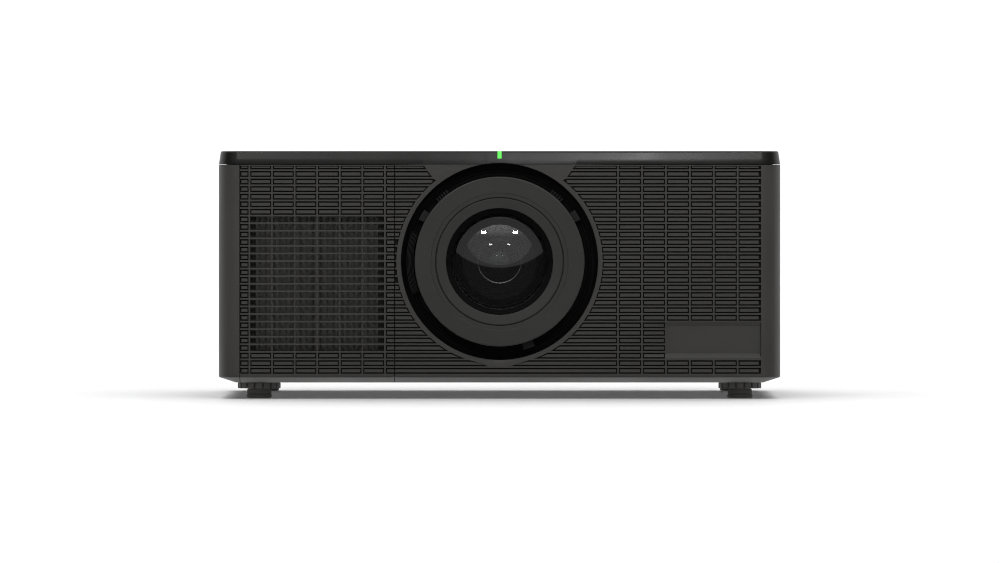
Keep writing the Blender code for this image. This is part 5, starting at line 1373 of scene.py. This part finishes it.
def only_lights(light, name, target):
    """Links a light to one object through a collection of its own."""
    lit = bpy.data.collections.new(name)
    lit.objects.link(target)
    light.light_linking.receiver_collection = lit


def studio_floor(scene):
    """A wide pale floor that mirrors and glass don't see, lit by two soft suns of its own."""
    material = finish_material("studio_floor", FLOOR_COLOUR, 0.6,
                               bpy.data.node_groups["moulded_grain"], 60.0, 0.05, 0.01)
    mesh = bpy.data.meshes.new("floor")
    corners = [(x * FLOOR_REACH, y * FLOOR_REACH, 0.0) for x, y in ((-1, -1), (1, -1), (1, 1), (-1, 1))]
    mesh.from_pydata(corners, [], [(0, 1, 2, 3)])
    mesh.materials.append(material)
    floor = bpy.data.objects.new("floor", mesh)
    floor.visible_glossy = floor.visible_transmission = False
    scene.collection.objects.link(floor)
    for side in (-1, 1):
        data = bpy.data.lights.new(f"floor_sun_{side}", "SUN")
        data.energy, data.angle = SUN_STRENGTH, math.radians(SUN_SPREAD)
        sun = bpy.data.objects.new(data.name, data)
        sun.rotation_euler = (math.radians(SUN_LEAN * side), 0.0, 0.0)
        scene.collection.objects.link(sun)
        only_lights(sun, f"lit_by_floor_sun_{side}", floor)


FLOOR_COLOUR, FLOOR_REACH = (0.93, 0.93, 0.93), 60.0
SUN_STRENGTH, SUN_SPREAD, SUN_LEAN = 1.0, 55.0, 50.0
AIM = (0.0004, FRONT * MM, 0.1012)        # what the camera looks at


class PROJECTOR_OT_stage(bpy.types.Operator):
    """Set up the floor, the lights and the camera"""

    bl_idname = "projector.stage"
    bl_label = "Stage"

    def execute(self, context):
        scene = context.scene
        stage = scene.projector_stage
        scene.view_settings.view_transform = "Standard"
        scene.cycles.filter_width = 1.0
        studio_floor(scene)
        world_light(scene)
        middle = (0.0, FRONT * MM, LENS_Z * MM)
        strip = area_light(scene, "cover_strip", (0.12, -0.98, 0.43), (0.1, -0.26, 0.2),
                           (0.16, 0.12), 0.45)
        strip.visible_diffuse = False
        only_lights(strip, "lit_by_strip", scene.objects["top_cover_skin"])
        for side in (-1, 1):
            area_light(scene, f"spark_{side}", (side * 0.50, -2.05, 1.03), middle,
                       (0.16, 0.09), 2.6)
        camera = bpy.data.cameras.new("camera")
        camera.lens = stage.focal
        camera.sensor_width = 36.0
        camera.clip_start, camera.clip_end = 0.1, 100.0
        eye = bpy.data.objects.new("camera", camera)
        eye.location = (AIM[0], AIM[1] - stage.distance, stage.height)
        eye.rotation_euler = (Vector(AIM) - eye.location).to_track_quat("-Z", "Y").to_euler()
        scene.collection.objects.link(eye)
        scene.camera = eye
        return {"FINISHED"}


# Panel and registration

class PROJECTOR_PT_panel(bpy.types.Panel):
    """Shows the projector's settings and build buttons in the 3D view's sidebar"""

    bl_idname = "PROJECTOR_PT_panel"
    bl_label = "Home projector"
    bl_space_type = "VIEW_3D"
    bl_region_type = "UI"
    bl_category = "Projector"

    def draw(self, context):
        for group in SETTINGS:
            box = self.layout.box()
            settings = getattr(context.scene, group)
            for name in settings.__annotations__:
                box.prop(settings, name)
        for operator in OPERATORS:
            self.layout.operator(operator.bl_idname)


SETTINGS = {
    "projector_case": PROJECTOR_PG_case,
    "projector_lens": PROJECTOR_PG_lens,
    "projector_finish": PROJECTOR_PG_finish,
    "projector_stage": PROJECTOR_PG_stage,
}
OPERATORS = (
    PROJECTOR_OT_materials, PROJECTOR_OT_filter_door, PROJECTOR_OT_front_bezel,
    PROJECTOR_OT_side_panels, PROJECTOR_OT_top_cover, PROJECTOR_OT_lens_ring,
    PROJECTOR_OT_lens_glass, PROJECTOR_OT_lens_well, PROJECTOR_OT_feet,
    PROJECTOR_OT_rear_fittings, PROJECTOR_OT_stage,
)


def register():
    """Register the settings, the operators and the panel."""
    for group in (*SETTINGS.values(), *OPERATORS, PROJECTOR_PT_panel):
        bpy.utils.register_class(group)
    for name, group in SETTINGS.items():
        setattr(bpy.types.Scene, name, PointerProperty(type=group))


def unregister():
    """Remove what register added."""
    for name in SETTINGS:
        delattr(bpy.types.Scene, name)
    for group in (PROJECTOR_PT_panel, *reversed(OPERATORS), *SETTINGS.values()):
        bpy.utils.unregister_class(group)


def main():
    """Build everything."""
    register()
    for operator in OPERATORS:
        area, name = operator.bl_idname.split(".")
        getattr(getattr(bpy.ops, area), name)()


if __name__ == "__main__":
    main()
